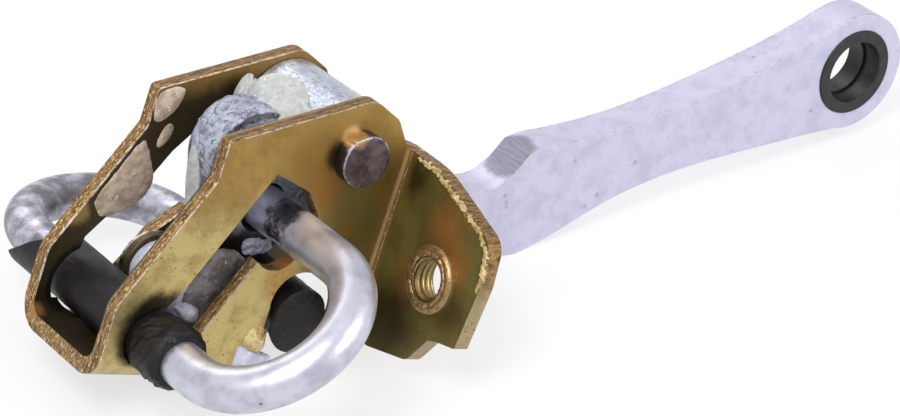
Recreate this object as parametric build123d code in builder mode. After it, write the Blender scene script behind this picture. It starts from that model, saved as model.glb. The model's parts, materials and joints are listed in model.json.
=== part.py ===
"""Lever-operated bow bracket: a plate yoke, a swinging lever and a bent bow.

All lengths are in millimetres. The pieces are drawn in the yoke's own frame:
X runs along the yoke towards the lever's eye, Y runs across it from the near
cheek to the far cheek, and Z points up, square to the web. The pivot stands
over X = 0. Before export every piece is laid down into the pose in which the
bracket rests on a flat surface, with +Z up.
"""
import math
import os

from build123d import *

os.makedirs("parts", exist_ok=True)

# ---------------------------------------------------------------------------
# Driving dimensions
# ---------------------------------------------------------------------------

# Yoke plate
PLATE = 3.2
YOKE_WIDTH = 28.0
YOKE_BACK = -43.6
WEB_FRONT = -13.7
WEB_BOTTOM = -1.1
BEND_INSIDE = 1.2
WEB_BEND_INSIDE = 2.8
CHEEK_CORNERS = [  # each corner's x and z, and the radius that rounds it
    (YOKE_BACK, WEB_BOTTOM, 0),
    (WEB_FRONT, WEB_BOTTOM, 0),
    (WEB_FRONT, 7.6, 0),
    (9.0, 10.5, 0),
    (15.2, 10.5, 0),
    (15.2, 49.8, 1.0),
    (10.6, 50.7, 0),
    (7.2, 55.3, 3.0),
    (0.5, 58.7, 4.0),
    (-29.8, 48.2, 1.0),
    (-29.8, 40.5, 3.0),
    (YOKE_BACK, 14.6, 4.0),
]

# Pivot
PIVOT_Z = 47.5
PIVOT_RADIUS = 5.25
PIVOT_NEAR_STICK_OUT = 3.3
PIVOT_FAR_STICK_OUT = 1.4
PIVOT_EDGE = 0.4
RUNNING_CLEARANCE = 0.05
FIXED_CLEARANCE = 0.02

# Bow: one round rod with three parallel runs, joined by two half rings
ROD_RADIUS = 4.35
HEEL = (-33.5, 8.5)
CROWN_REACH = 33.5
CROWN_ANGLE = 44.9
TOE_REACH = 31.8
TOE_ANGLE = 10.5
NEAR_RING_Y = -29.0
FAR_RING_Y = 29.1
CROWN_END_Y = 15.6
TOE_END_Y = -13.4

# Rubber sleeves on the bow's two lower runs
SLEEVE_RADIUS = 6.0
SLEEVE_BORE = ROD_RADIUS + FIXED_CLEARANCE
HEEL_SLEEVE_NEAR_Y = -22.0
SLEEVE_WRAP = 22.0
SLEEVE_END_Y = 27.2
SLEEVE_END_SLANT = 1.25
TOE_CAP = 1.6
SLEEVE_EDGE = 0.5

# Travel of the lever, and of the bow it drives, from the pose that is drawn
LEVER_UP = 4.2
LEVER_DOWN = 9.0
BOW_PER_LEVER = 0.555
MOVING_GAP = 0.3

# Openings in the cheeks; the slot runs from the heel's hole up to the window
SLOT_TOP = [(-17.1, 42.7), (-13.2, 41.4), (-8.4, 39.6), (-4.7, 35.0), (-4.3, 28.9), (-9.0, 25.4)]
NEAR_SLOT_SIDES = [
    (-14.6, 25.6),
    (-23.4, 9.3),
    (-26.4, 6.8),
    (-30.6, 5.0),
    (-34.0, 13.0),
    (-30.1, 18.3),
]
FAR_SLOT_SIDES = [
    (-15.3, 24.3),
    (-21.4, 19.0),
    (-25.0, 12.4),
    (-28.5, 7.0),
    (-32.0, 5.0),
    (-37.2, 12.6),
    (-36.5, 17.6),
    (-33.8, 21.0),
    (-25.6, 31.0),
    (-22.7, 36.0),
]
FAR_HEEL_HOLE_RADIUS = 7.4
NOTCH = (-11.3, 28.6)
NOTCH_RADIUS = 5.3
ARCH = (-1.0, 14.6)
ARCH_RADIUS = 8.0

# Flange with the drawn, threaded hole
FLANGE_FACE_X = 12.0
FLANGE_OUTLINE = [  # each corner's y and z, and the radius that rounds it
    (-11.5, 49.8, 0),
    (-23.5, 49.7, 25.0),
    (-43.3, 43.6, 4.5),
    (-44.2, 35.0, 8.0),
    (-42.9, 21.9, 0.6),
    (-37.6, 20.8, 0),
    (-35.4, 20.0, 0),
    (-31.4, 13.9, 3.0),
    (-20.0, 11.2, 0),
    (-11.5, 10.5, 0),
]
THREAD_CENTRE = (-31.3, 30.7)
THREAD_MINOR_RADIUS = 4.25
COLLAR_RADIUS = 6.6
COLLAR_FRONT = 1.6
COLLAR_BACK = 0.6
COLLAR_FRONT_EDGE = 1.0
COLLAR_BACK_EDGE = 0.4

# Lever
LEVER_THICKNESS = 8.6
HUB_RADIUS = 9.4
HUB_SIDE_GAP = 0.2
NOSE_TOP = (-15.2, 41.6)
NOSE_TOP_RADIUS = 9.6
NOSE_LOW = (-11.8, 31.3)
NOSE_LOW_RADIUS = 9.9
NECK_POINTS = [(-12.0, 48.6), (-6.0, 46.6), (1.0, 56.8), (9.0, 46.0), (8.0, 38.5), (-8.0, 24.0)]
NOSE_SLOT_IN = 18.0
NOSE_SLOT_OUT = 19.0
EYE = (133.1, 70.9)
EYE_RADIUS = 13.0
BELLY = (53.2, 33.4)
BELLY_RADIUS = 8.8
EYE_TOP_ANGLE = 126.3
EYE_UNDER_ANGLE = -70.2
ARM_ROOT = [(4.0, 56.0), (14.0, 50.0), (24.5, 44.5), (33.0, 40.6)]
ARM_SCOOP = [(33.0, 40.6), (37.6, 38.6), (42.2, 38.1), (46.2, 39.6)]
ARM_STEP = [(46.2, 39.6), (49.0, 42.4), (51.4, 46.6), (54.5, 48.1)]
ARM_TOP = [
    (54.5, 48.1),
    (67.9, 51.6),
    (78.0, 55.2),
    (91.0, 61.2),
    (104.0, 68.0),
    (114.3, 73.9),
]
ARM_UNDER = [
    (126.0, 56.0),
    (110.3, 51.4),
    (98.3, 47.8),
    (86.0, 43.0),
    (76.6, 38.2),
    (70.0, 33.8),
    (63.0, 28.9),
]
ARM_HEEL = [
    (63.0, 28.9),
    (58.6, 26.4),
    (53.2, 24.6),
    (44.0, 26.0),
    (20.0, 33.5),
    (3.0, 37.0),
    (4.0, 56.0),
]

# Bush in the lever's eye, in two flanged halves
BUSH_RADIUS = 7.9
BUSH_FLANGE_RADIUS = 9.4
BUSH_FLANGE = 1.2
BUSH_PROUD = 0.4
BUSH_NEAR_BORE = 6.8
BUSH_FAR_BORE = 6.3
BUSH_EDGE = 0.3

# Keeper stud on the far cheek, with its collar, above the heel's hole
KEEPER = (-20.8, 13.3)
KEEPER_RADIUS = 5.4
KEEPER_SPIGOT_RADIUS = 3.0
KEEPER_NEAR_Y = -8.0
KEEPER_RIVET = 0.6
KEEPER_EDGE = 0.6
COLLAR_RING_RADIUS = 6.4
COLLAR_RING_LENGTH = 2.4
COLLAR_RING_EDGE = 0.4

# ---------------------------------------------------------------------------
# Derived values
# ---------------------------------------------------------------------------

HALF_WIDTH = YOKE_WIDTH / 2
INNER_FACE = HALF_WIDTH - PLATE
HALF_LEVER = LEVER_THICKNESS / 2
HALF_HUB = INNER_FACE - HUB_SIDE_GAP
BLANK_HEIGHT = max(z for x, z, radius in CHEEK_CORNERS) - WEB_BOTTOM + PLATE
BOW_UP = LEVER_DOWN * BOW_PER_LEVER
BOW_DOWN = LEVER_UP * BOW_PER_LEVER


def around_heel(reach, angle):
    """Return the (x, z) of a run at this reach and angle from the heel run."""
    turn = math.radians(angle)
    return (HEEL[0] + reach * math.cos(turn), HEEL[1] + reach * math.sin(turn))


def from_pivot(reach, angle):
    """Return the (x, z) at this reach and angle from the pivot's axis."""
    turn = math.radians(angle)
    return (reach * math.cos(turn), PIVOT_Z + reach * math.sin(turn))


def round_eye(angle):
    """Return the (x, z) on the eye's rim at this angle."""
    turn = math.radians(angle)
    return (EYE[0] + EYE_RADIUS * math.cos(turn), EYE[1] + EYE_RADIUS * math.sin(turn))


def side(y):
    """Return the plane across Y whose sketches read (x, z); it faces the near side."""
    return Plane.XZ.offset(-y)


def end(x):
    """Return the plane across X whose sketches read (y, z); it faces the eye."""
    return Plane.YZ.offset(x)


def bow_swing(reach, angle):
    """Return a run's places over the bow's travel, from its lowest to its highest."""
    sweep = BOW_UP + BOW_DOWN
    return [around_heel(reach, angle - BOW_DOWN + sweep * step / 4) for step in range(5)]


CROWN = around_heel(CROWN_REACH, CROWN_ANGLE)
TOE = around_heel(TOE_REACH, TOE_ANGLE)
NOSE_ANGLE = math.degrees(math.atan2(CROWN[1] - PIVOT_Z, CROWN[0]))
BELLY_REACH = math.hypot(BELLY[0] - WEB_FRONT, BELLY[1] - WEB_BOTTOM)
REST_TILT = math.degrees(
    math.atan2(BELLY[1] - WEB_BOTTOM, BELLY[0] - WEB_FRONT) - math.asin(BELLY_RADIUS / BELLY_REACH)
)

# ---------------------------------------------------------------------------
# Yoke bracket: web, two slotted cheeks and the flange bent off the near cheek
# ---------------------------------------------------------------------------

with BuildPart() as yoke_bracket:
    with BuildSketch(end(YOKE_BACK)):
        with Locations((0, WEB_BOTTOM)):
            Rectangle(YOKE_WIDTH, BLANK_HEIGHT, align=(Align.CENTER, Align.MIN))
        with Locations((0, WEB_BOTTOM + PLATE)):
            Rectangle(
                2 * INNER_FACE,
                BLANK_HEIGHT,
                align=(Align.CENTER, Align.MIN),
                mode=Mode.SUBTRACT,
            )
    extrude(amount=FLANGE_FACE_X + PLATE - YOKE_BACK)
    lengthwise = yoke_bracket.edges().filter_by(Axis.X)
    fillet(lengthwise.group_by(Axis.Z)[0], WEB_BEND_INSIDE + PLATE)
    lengthwise = yoke_bracket.edges().filter_by(Axis.X)
    fillet(
        lengthwise.filter_by_position(
            Axis.Z,
            WEB_BOTTOM + PLATE - FIXED_CLEARANCE,
            WEB_BOTTOM + PLATE + FIXED_CLEARANCE,
        ),
        WEB_BEND_INSIDE,
    )
    with BuildSketch(side(HALF_WIDTH)) as cheek_shape:
        with BuildLine():
            Polyline(*[(x, z) for x, z, radius in CHEEK_CORNERS], close=True)
        make_face()
        for x, z, radius in CHEEK_CORNERS:
            if radius:
                fillet(cheek_shape.vertices().sort_by_distance((x, z))[0], radius)
    extrude(amount=YOKE_WIDTH, mode=Mode.INTERSECT)
    for face_y, sides in ((HALF_WIDTH, FAR_SLOT_SIDES), (-INNER_FACE, NEAR_SLOT_SIDES)):
        with BuildSketch(side(face_y)):
            with BuildLine():
                Polyline(*SLOT_TOP, *sides, close=True)
            make_face()
            with Locations(NOTCH):
                Circle(NOTCH_RADIUS)
            with Locations(HEEL):
                Circle(SLEEVE_RADIUS + MOVING_GAP)
            with Locations(*bow_swing(CROWN_REACH, CROWN_ANGLE)):
                Circle(ROD_RADIUS + MOVING_GAP)
            with Locations(*bow_swing(TOE_REACH, TOE_ANGLE)):
                Circle(SLEEVE_RADIUS + MOVING_GAP)
            with Locations(ARCH):
                Circle(ARCH_RADIUS)
                Rectangle(2 * ARCH_RADIUS, ARCH[1], align=(Align.CENTER, Align.MAX))
            with Locations((0, PIVOT_Z)):
                Circle(PIVOT_RADIUS + FIXED_CLEARANCE)
        extrude(amount=PLATE, mode=Mode.SUBTRACT)
    with BuildSketch(side(HALF_WIDTH)):
        with Locations(HEEL):
            Circle(SLEEVE_RADIUS + MOVING_GAP)
    extrude(amount=YOKE_WIDTH, mode=Mode.SUBTRACT)
    with BuildSketch(side(HALF_WIDTH)):
        with Locations(HEEL):
            Circle(FAR_HEEL_HOLE_RADIUS)
        with Locations(KEEPER):
            Circle(KEEPER_SPIGOT_RADIUS + FIXED_CLEARANCE)
    extrude(amount=PLATE, mode=Mode.SUBTRACT)
    with BuildSketch(end(FLANGE_FACE_X)) as flange_shape:
        with BuildLine():
            Polyline(*[(y, z) for y, z, _ in FLANGE_OUTLINE], close=True)
        make_face()
        for y, z, radius in FLANGE_OUTLINE:
            if radius:
                fillet(flange_shape.vertices().sort_by_distance((y, z))[0], radius)
    extrude(amount=PLATE)
    fold = yoke_bracket.edges().filter_by(Axis.Z)
    fillet(fold.sort_by_distance((FLANGE_FACE_X, -HALF_WIDTH, PIVOT_Z))[0], BEND_INSIDE)
    with BuildSketch(end(FLANGE_FACE_X - COLLAR_FRONT)):
        with Locations(THREAD_CENTRE):
            Circle(COLLAR_RADIUS)
    extrude(amount=COLLAR_FRONT + PLATE + COLLAR_BACK)
    collar_edges = yoke_bracket.edges().filter_by(GeomType.CIRCLE).group_by(Axis.X)
    fillet(collar_edges[-1], COLLAR_BACK_EDGE)
    rim_centre = (FLANGE_FACE_X - COLLAR_FRONT, *THREAD_CENTRE)
    rims = yoke_bracket.edges().filter_by(GeomType.CIRCLE).sort_by_distance(rim_centre)
    fillet(rims[0], COLLAR_FRONT_EDGE)
    with BuildSketch(end(FLANGE_FACE_X - COLLAR_FRONT)):
        with Locations(THREAD_CENTRE):
            Circle(THREAD_MINOR_RADIUS)
    extrude(amount=COLLAR_FRONT + PLATE + COLLAR_BACK, mode=Mode.SUBTRACT)

# ---------------------------------------------------------------------------
# Pivot pin, held in both cheeks
# ---------------------------------------------------------------------------

with BuildPart() as pivot_pin:
    with BuildSketch(side(HALF_WIDTH + PIVOT_FAR_STICK_OUT)):
        with Locations((0, PIVOT_Z)):
            Circle(PIVOT_RADIUS)
    extrude(amount=YOKE_WIDTH + PIVOT_FAR_STICK_OUT + PIVOT_NEAR_STICK_OUT)
    fillet(pivot_pin.edges().filter_by(GeomType.CIRCLE), PIVOT_EDGE)

# ---------------------------------------------------------------------------
# Keeper stud, riveted into the far cheek, and the collar ring at its root
# ---------------------------------------------------------------------------

with BuildPart() as keeper_stud:
    with BuildSketch(side(INNER_FACE)):
        with Locations(KEEPER):
            Circle(KEEPER_RADIUS)
    extrude(amount=INNER_FACE - KEEPER_NEAR_Y)
    with BuildSketch(side(HALF_WIDTH + KEEPER_RIVET)):
        with Locations(KEEPER):
            Circle(KEEPER_SPIGOT_RADIUS)
    extrude(amount=PLATE + KEEPER_RIVET)
    fillet(keeper_stud.edges().filter_by(GeomType.CIRCLE).sort_by(Axis.Y)[0], KEEPER_EDGE)

with BuildPart() as keeper_collar:
    with BuildSketch(side(INNER_FACE)):
        with Locations(KEEPER):
            Circle(COLLAR_RING_RADIUS)
            Circle(KEEPER_RADIUS + FIXED_CLEARANCE, mode=Mode.SUBTRACT)
    extrude(amount=COLLAR_RING_LENGTH)
    rims = keeper_collar.edges().filter_by(GeomType.CIRCLE).sort_by(Axis.Y)
    fillet(rims[:2].sort_by(SortBy.RADIUS)[-1], COLLAR_RING_EDGE)

# ---------------------------------------------------------------------------
# Lever: nose with its slot, broad hub, arm with a scooped root, and eye
# ---------------------------------------------------------------------------

with BuildPart() as lever:
    with BuildSketch(side(HALF_LEVER)):
        with Locations(NOSE_TOP):
            Circle(NOSE_TOP_RADIUS)
        with Locations(NOSE_LOW):
            Circle(NOSE_LOW_RADIUS)
        make_hull()
        with BuildLine():
            Polyline(*NECK_POINTS, close=True)
        make_face()
        with BuildLine():
            Polyline(*ARM_ROOT)
            Spline(*ARM_SCOOP)
            Polyline(*ARM_STEP)
            Spline(*ARM_TOP, round_eye(EYE_TOP_ANGLE))
            Line(round_eye(EYE_TOP_ANGLE), round_eye(EYE_UNDER_ANGLE))
            Spline(round_eye(EYE_UNDER_ANGLE), *ARM_UNDER)
            Polyline(*ARM_HEEL)
        make_face()
        with Locations(BELLY):
            Circle(BELLY_RADIUS)
        with Locations(EYE):
            Circle(EYE_RADIUS)
    extrude(amount=LEVER_THICKNESS)
    with BuildSketch(side(HALF_HUB)):
        with Locations((0, PIVOT_Z)):
            Circle(HUB_RADIUS)
    extrude(amount=2 * HALF_HUB)
    with BuildSketch(side(HALF_HUB)):
        with Locations((0, PIVOT_Z)):
            Circle(PIVOT_RADIUS + RUNNING_CLEARANCE)
        for reach in (NOSE_SLOT_IN, NOSE_SLOT_OUT):
            with Locations(from_pivot(reach, NOSE_ANGLE)):
                Circle(ROD_RADIUS + MOVING_GAP)
        with Locations(
            Location((*from_pivot((NOSE_SLOT_IN + NOSE_SLOT_OUT) / 2, NOSE_ANGLE), 0), NOSE_ANGLE)
        ):
            Rectangle(NOSE_SLOT_OUT - NOSE_SLOT_IN, 2 * (ROD_RADIUS + MOVING_GAP))
        with Locations(EYE):
            Circle(BUSH_RADIUS + FIXED_CLEARANCE)
    extrude(amount=2 * HALF_HUB, mode=Mode.SUBTRACT)
    for face_y in (HALF_LEVER, -HALF_LEVER + BUSH_FLANGE - BUSH_PROUD):
        with BuildSketch(side(face_y)):
            with Locations(EYE):
                Circle(BUSH_FLANGE_RADIUS + FIXED_CLEARANCE)
        extrude(amount=BUSH_FLANGE - BUSH_PROUD, mode=Mode.SUBTRACT)

# ---------------------------------------------------------------------------
# Bush halves in the eye
# ---------------------------------------------------------------------------


def bush_half(face_y, bore, outward):
    """Build one flanged half of the bush, from the eye's middle out to its face."""
    with BuildPart() as half:
        with BuildSketch(side(0)):
            with Locations(EYE):
                Circle(BUSH_RADIUS)
                Circle(bore, mode=Mode.SUBTRACT)
        extrude(amount=outward * (face_y + BUSH_PROUD))
        with BuildSketch(side(-outward * (face_y + BUSH_PROUD - BUSH_FLANGE))):
            with Locations(EYE):
                Circle(BUSH_FLANGE_RADIUS)
                Circle(bore, mode=Mode.SUBTRACT)
        extrude(amount=outward * BUSH_FLANGE)
        rims = half.edges().filter_by(GeomType.CIRCLE).sort_by(Axis.Y)
        fillet(rims[:2] if outward > 0 else rims[-2:], BUSH_EDGE)
    return half


eye_bush_near = bush_half(HALF_LEVER, BUSH_NEAR_BORE, 1)
eye_bush_far = bush_half(HALF_LEVER, BUSH_FAR_BORE, -1)

# ---------------------------------------------------------------------------
# Bow rod: crown run, near half ring, heel run, far half ring, toe run
# ---------------------------------------------------------------------------


def ring_axis(spot, ring_y, outward):
    """Return the axis that turns this run's end towards the other run, out past ring_y."""
    other = HEEL if spot != HEEL else TOE
    reach = math.hypot(spot[0] - other[0], spot[1] - other[1])
    across = ((spot[0] - other[0]) / reach, (spot[1] - other[1]) / reach)
    middle = ((spot[0] + other[0]) / 2, ring_y, (spot[1] + other[1]) / 2)
    return Axis(middle, (-outward * across[1], 0, outward * across[0]))


def slanting_end(run):
    """Return the slanting plane that a run's sleeve ends on, past the far cheek."""
    return Plane((run[0], SLEEVE_END_Y, run[1]), z_dir=(0, 1, SLEEVE_END_SLANT))


with BuildPart() as bow_rod:
    for spot, far_y, near_y in (
        (CROWN, CROWN_END_Y, NEAR_RING_Y),
        (HEEL, FAR_RING_Y, NEAR_RING_Y),
        (TOE, FAR_RING_Y, TOE_END_Y),
    ):
        with BuildSketch(side(far_y)):
            with Locations(spot):
                Circle(ROD_RADIUS)
        extrude(amount=far_y - near_y)
    for spot, ring_y, outward in ((CROWN, NEAR_RING_Y, -1), (TOE, FAR_RING_Y, 1)):
        with BuildSketch(side(ring_y)):
            with Locations(spot):
                Circle(ROD_RADIUS)
        revolve(axis=ring_axis(spot, ring_y, outward), revolution_arc=180)

# ---------------------------------------------------------------------------
# Rubber sleeves: both follow the far half ring a little way, and the toe
# sleeve is closed at its near end
# ---------------------------------------------------------------------------

with BuildPart() as heel_sleeve:
    with BuildSketch(side(FAR_RING_Y)) as heel_sleeve_end:
        with Locations(HEEL):
            Circle(SLEEVE_RADIUS)
            Circle(SLEEVE_BORE, mode=Mode.SUBTRACT)
    extrude(amount=FAR_RING_Y - HEEL_SLEEVE_NEAR_Y)
    revolve(
        heel_sleeve_end.sketch,
        axis=ring_axis(HEEL, FAR_RING_Y, 1),
        revolution_arc=SLEEVE_WRAP,
    )
    split(bisect_by=slanting_end(HEEL), keep=Keep.BOTTOM)
    fillet(heel_sleeve.faces().sort_by(Axis.Y)[0].outer_wire().edges(), SLEEVE_EDGE)

with BuildPart() as toe_sleeve:
    with BuildSketch(side(FAR_RING_Y)) as toe_sleeve_end:
        with Locations(TOE):
            Circle(SLEEVE_RADIUS)
            Circle(SLEEVE_BORE, mode=Mode.SUBTRACT)
    extrude(amount=FAR_RING_Y - TOE_END_Y + FIXED_CLEARANCE)
    revolve(
        toe_sleeve_end.sketch,
        axis=ring_axis(TOE, FAR_RING_Y, 1),
        revolution_arc=SLEEVE_WRAP,
    )
    split(bisect_by=slanting_end(TOE), keep=Keep.BOTTOM)
    with BuildSketch(side(TOE_END_Y - FIXED_CLEARANCE)):
        with Locations(TOE):
            Circle(SLEEVE_RADIUS)
    extrude(amount=TOE_CAP)
    fillet(toe_sleeve.faces().sort_by(Axis.Y)[0].outer_wire().edges(), SLEEVE_EDGE)

# ---------------------------------------------------------------------------
# Lay the assembly down as it rests, centre it over the origin, and export
# ---------------------------------------------------------------------------

PIECES = {
    "yoke_bracket": yoke_bracket,
    "pivot_pin": pivot_pin,
    "keeper_stud": keeper_stud,
    "keeper_collar": keeper_collar,
    "lever": lever,
    "eye_bush_near": eye_bush_near,
    "eye_bush_far": eye_bush_far,
    "bow_rod": bow_rod,
    "heel_sleeve": heel_sleeve,
    "toe_sleeve": toe_sleeve,
}

tilted = Location((0, 0, 0), (0, REST_TILT, 0))
extent = Compound(children=[piece.part.moved(tilted) for piece in PIECES.values()]).bounding_box()
rest = Location((-extent.center().X, -extent.center().Y, -extent.min.Z)) * tilted

for name, piece in PIECES.items():
    piece.part.move(rest)
    piece.part.label = name
    export_step(piece.part, f"parts/{name}.step")
    low = piece.part.bounding_box().min.Z
    print(f"{name:14s} volume {piece.part.volume:9.1f} mm3, lowest point {low:6.2f} mm")


def shown(x, y, z):
    """Return a yoke-frame point as it lies in the exported frame."""
    spot = (rest * Location((x, y, z))).position
    return f"({spot.X:.3f}, {spot.Y:.3f}, {spot.Z:.3f})"


print(f"rest tilt {REST_TILT:.3f} deg, overall {extent.size}")
print(f"lever from {-LEVER_UP} to {LEVER_DOWN} deg, bow from {-BOW_DOWN:.3f} to {BOW_UP:.3f} deg")
print("pivot axis", shown(0, 0, PIVOT_Z))
print("heel run", shown(HEEL[0], 0, HEEL[1]))
print("crown run", shown(CROWN[0], 0, CROWN[1]))
print("toe run", shown(TOE[0], 0, TOE[1]))
print("thread, front rim", shown(FLANGE_FACE_X - COLLAR_FRONT, *THREAD_CENTRE))
print("eye centre", shown(EYE[0], 0, EYE[1]))
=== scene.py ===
"""Finishes, grease and worn details of a lever lock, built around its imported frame.

The yoke's own space is used for every detail: X runs from the yoke's back towards the
lever's eye, Y from the near cheek to the far cheek, Z up from the web, in millimetres,
with the pivot over X = 0. YokeSpace carries such places into the row's frame in metres.
"""
from __future__ import annotations

import json
import logging
import math
from dataclasses import dataclass
from enum import Enum
from typing import Callable, Iterator, Sequence, Union

import bmesh
import bpy
import numpy as np
from mathutils import Matrix, Vector

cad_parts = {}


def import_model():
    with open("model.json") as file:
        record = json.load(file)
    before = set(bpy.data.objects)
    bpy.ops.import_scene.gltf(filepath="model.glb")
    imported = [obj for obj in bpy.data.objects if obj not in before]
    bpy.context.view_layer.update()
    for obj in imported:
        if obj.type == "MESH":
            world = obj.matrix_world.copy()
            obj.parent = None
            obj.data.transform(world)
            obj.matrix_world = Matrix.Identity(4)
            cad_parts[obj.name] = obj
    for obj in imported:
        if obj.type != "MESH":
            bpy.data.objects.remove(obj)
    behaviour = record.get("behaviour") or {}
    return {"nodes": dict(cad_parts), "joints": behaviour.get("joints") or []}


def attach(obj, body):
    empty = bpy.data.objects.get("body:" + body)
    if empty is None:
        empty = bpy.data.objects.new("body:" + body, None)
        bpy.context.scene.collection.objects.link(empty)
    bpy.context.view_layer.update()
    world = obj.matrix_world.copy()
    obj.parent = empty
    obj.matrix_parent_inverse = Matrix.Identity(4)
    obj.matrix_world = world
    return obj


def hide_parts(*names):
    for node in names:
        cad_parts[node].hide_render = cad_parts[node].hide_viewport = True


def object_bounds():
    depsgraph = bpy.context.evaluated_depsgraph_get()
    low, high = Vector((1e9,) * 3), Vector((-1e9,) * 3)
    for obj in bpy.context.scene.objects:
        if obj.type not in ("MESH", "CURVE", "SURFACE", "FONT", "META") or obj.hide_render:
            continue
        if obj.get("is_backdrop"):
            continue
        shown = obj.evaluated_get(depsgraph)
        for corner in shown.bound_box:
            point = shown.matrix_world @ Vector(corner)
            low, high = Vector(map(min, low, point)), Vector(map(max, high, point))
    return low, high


log = logging.getLogger("lever_lock")

MM = 0.001
FULL_TURN = 2.0 * math.pi

# Metres within which two points are one, in meshes made here and in the CAD's meshes
MERGE_MADE = 1e-7
MERGE_CAD = 2e-6
# Degrees between two faces: below the first they are merged into one, above the second
# their edge is rounded, and above the third it is shaded as a sharp edge
MERGED_ANGLE = 0.6
EASED_ANGLE = 32.0
SHARP_ANGLE = 50.0

Socket = bpy.types.NodeSocket
Material = bpy.types.Material
Piece = bpy.types.Object
Value = Union[float, Sequence[float], Socket]
Pair = tuple[float, float]
Triple = tuple[float, float, float]
Colour = tuple[float, float, float, float]


# ---------------------------------------------------------------------------
# The yoke's own space
# ---------------------------------------------------------------------------


@dataclass(frozen=True)
class Plan:
    """Sizes of the lock that the details share, in millimetres in the yoke's space."""

    half_width: float = 14.0
    plate: float = 3.2
    half_lever: float = 4.3
    pivot_z: float = 47.5
    pivot_radius: float = 5.25
    heel: Pair = (-33.5, 8.5)
    crown_reach: float = 33.5
    crown_turn: float = 44.9
    toe_reach: float = 31.8
    toe_turn: float = 10.5
    far_ring_y: float = 29.1
    hub_radius: float = 9.4
    nose_top: Pair = (-15.2, 41.6)
    nose_top_radius: float = 9.6
    thread_centre: Pair = (-31.3, 30.7)
    thread_radius: float = 4.25
    lug_face_x: float = 12.0

    @property
    def inner_face(self) -> float:
        """Return the distance from the middle to a cheek's inner face."""
        return self.half_width - self.plate

    @property
    def toe(self) -> Pair:
        """Return the x and z of the bow's toe run."""
        return self.from_heel(self.toe_reach, self.toe_turn)

    @property
    def crown(self) -> Pair:
        """Return the x and z of the bow's crown run."""
        return self.from_heel(self.crown_reach, self.crown_turn)

    def from_heel(self, reach: float, degrees: float) -> Pair:
        """Return the x and z of a place at a reach and a slope from the bow's heel run."""
        turn = math.radians(degrees)
        return (self.heel[0] + reach * math.cos(turn), self.heel[1] + reach * math.sin(turn))


PLAN = Plan()


class YokeSpace:
    """Carries places from the yoke's space, in millimetres, into the row's frame."""

    def __init__(self, joints: Sequence[dict]) -> None:
        """Work out the tilt and the shift from the two joints that the frame gives.

        Args:
            joints: The frame's joints, with their names and places.
        """
        places = {joint["name"]: np.array(joint["pos_m"]) for joint in joints}
        pivot, heel = places["lever_pivot"], places["bow_rock"]
        drawn = np.array([-PLAN.heel[0], 0.0, PLAN.pivot_z - PLAN.heel[1]])
        laid = pivot - heel
        self.tilt = math.atan2(drawn[2], drawn[0]) - math.atan2(laid[2], laid[0])
        cosine, sine = math.cos(self.tilt), math.sin(self.tilt)
        self.turn = np.array([[cosine, 0.0, sine], [0.0, 1.0, 0.0], [-sine, 0.0, cosine]])
        self.shift = pivot - self.turn @ (np.array([0.0, 0.0, PLAN.pivot_z]) * MM)

    def place(self, points: np.ndarray) -> np.ndarray:
        """Return points, given in the yoke's space in millimetres, in the row's frame."""
        return (np.asarray(points, float) * MM) @ self.turn.T + self.shift


# ---------------------------------------------------------------------------
# Meshes from arrays
# ---------------------------------------------------------------------------


def around(count: int) -> np.ndarray:
    """Return evenly spaced angles round a full turn, from 0 up."""
    return np.linspace(0.0, FULL_TURN, count, endpoint=False)


def smooth_step(value: np.ndarray, low: float, high: float) -> np.ndarray:
    """Return 0 below low and 1 above high, with a smooth rise between."""
    share = np.clip((value - low) / (high - low), 0.0, 1.0)
    return share * share * (3.0 - 2.0 * share)


def ripple(points: np.ndarray, size: float, seed: float, octaves: int = 3) -> np.ndarray:
    """Return smooth uneven values from -1 to 1, as sums of tilted sine waves.

    Args:
        points: An array whose last axis holds coordinates.
        size: The length of the longest wave, in the points' unit.
        seed: Shifts the waves, so that two surfaces differ.
        octaves: How many waves are summed, each about half as long and high as the last.

    Returns:
        One value for each point.
    """
    fall, finer, bend, gain = 0.55, 1.9, 0.8, 1.6
    points = np.asarray(points, float)
    total = np.zeros(points.shape[:-1])
    weight = 0.0
    for step in range(octaves):
        share = fall**step
        wave = FULL_TURN * (finer**step) / size
        lean = seed * 1.7 + step * 2.3
        slopes = np.array(
            [
                [math.cos(lean), 0.55 * math.sin(lean * 1.3), math.sin(lean)],
                [-math.sin(lean * 0.7), math.cos(lean), 0.6 * math.cos(lean * 2.1)],
                [0.5 * math.sin(lean), -0.8, math.cos(lean * 0.6)],
            ]
        )[:, : points.shape[-1]]
        phase = points @ slopes.T * wave + seed * np.array([1.0, 2.6, 4.1]) + step
        bent = phase + bend * np.sin(np.roll(phase, 1, axis=-1))
        total += share * np.sin(bent).mean(axis=-1)
        weight += share
    return np.clip(total / weight * gain, -1.0, 1.0)


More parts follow.
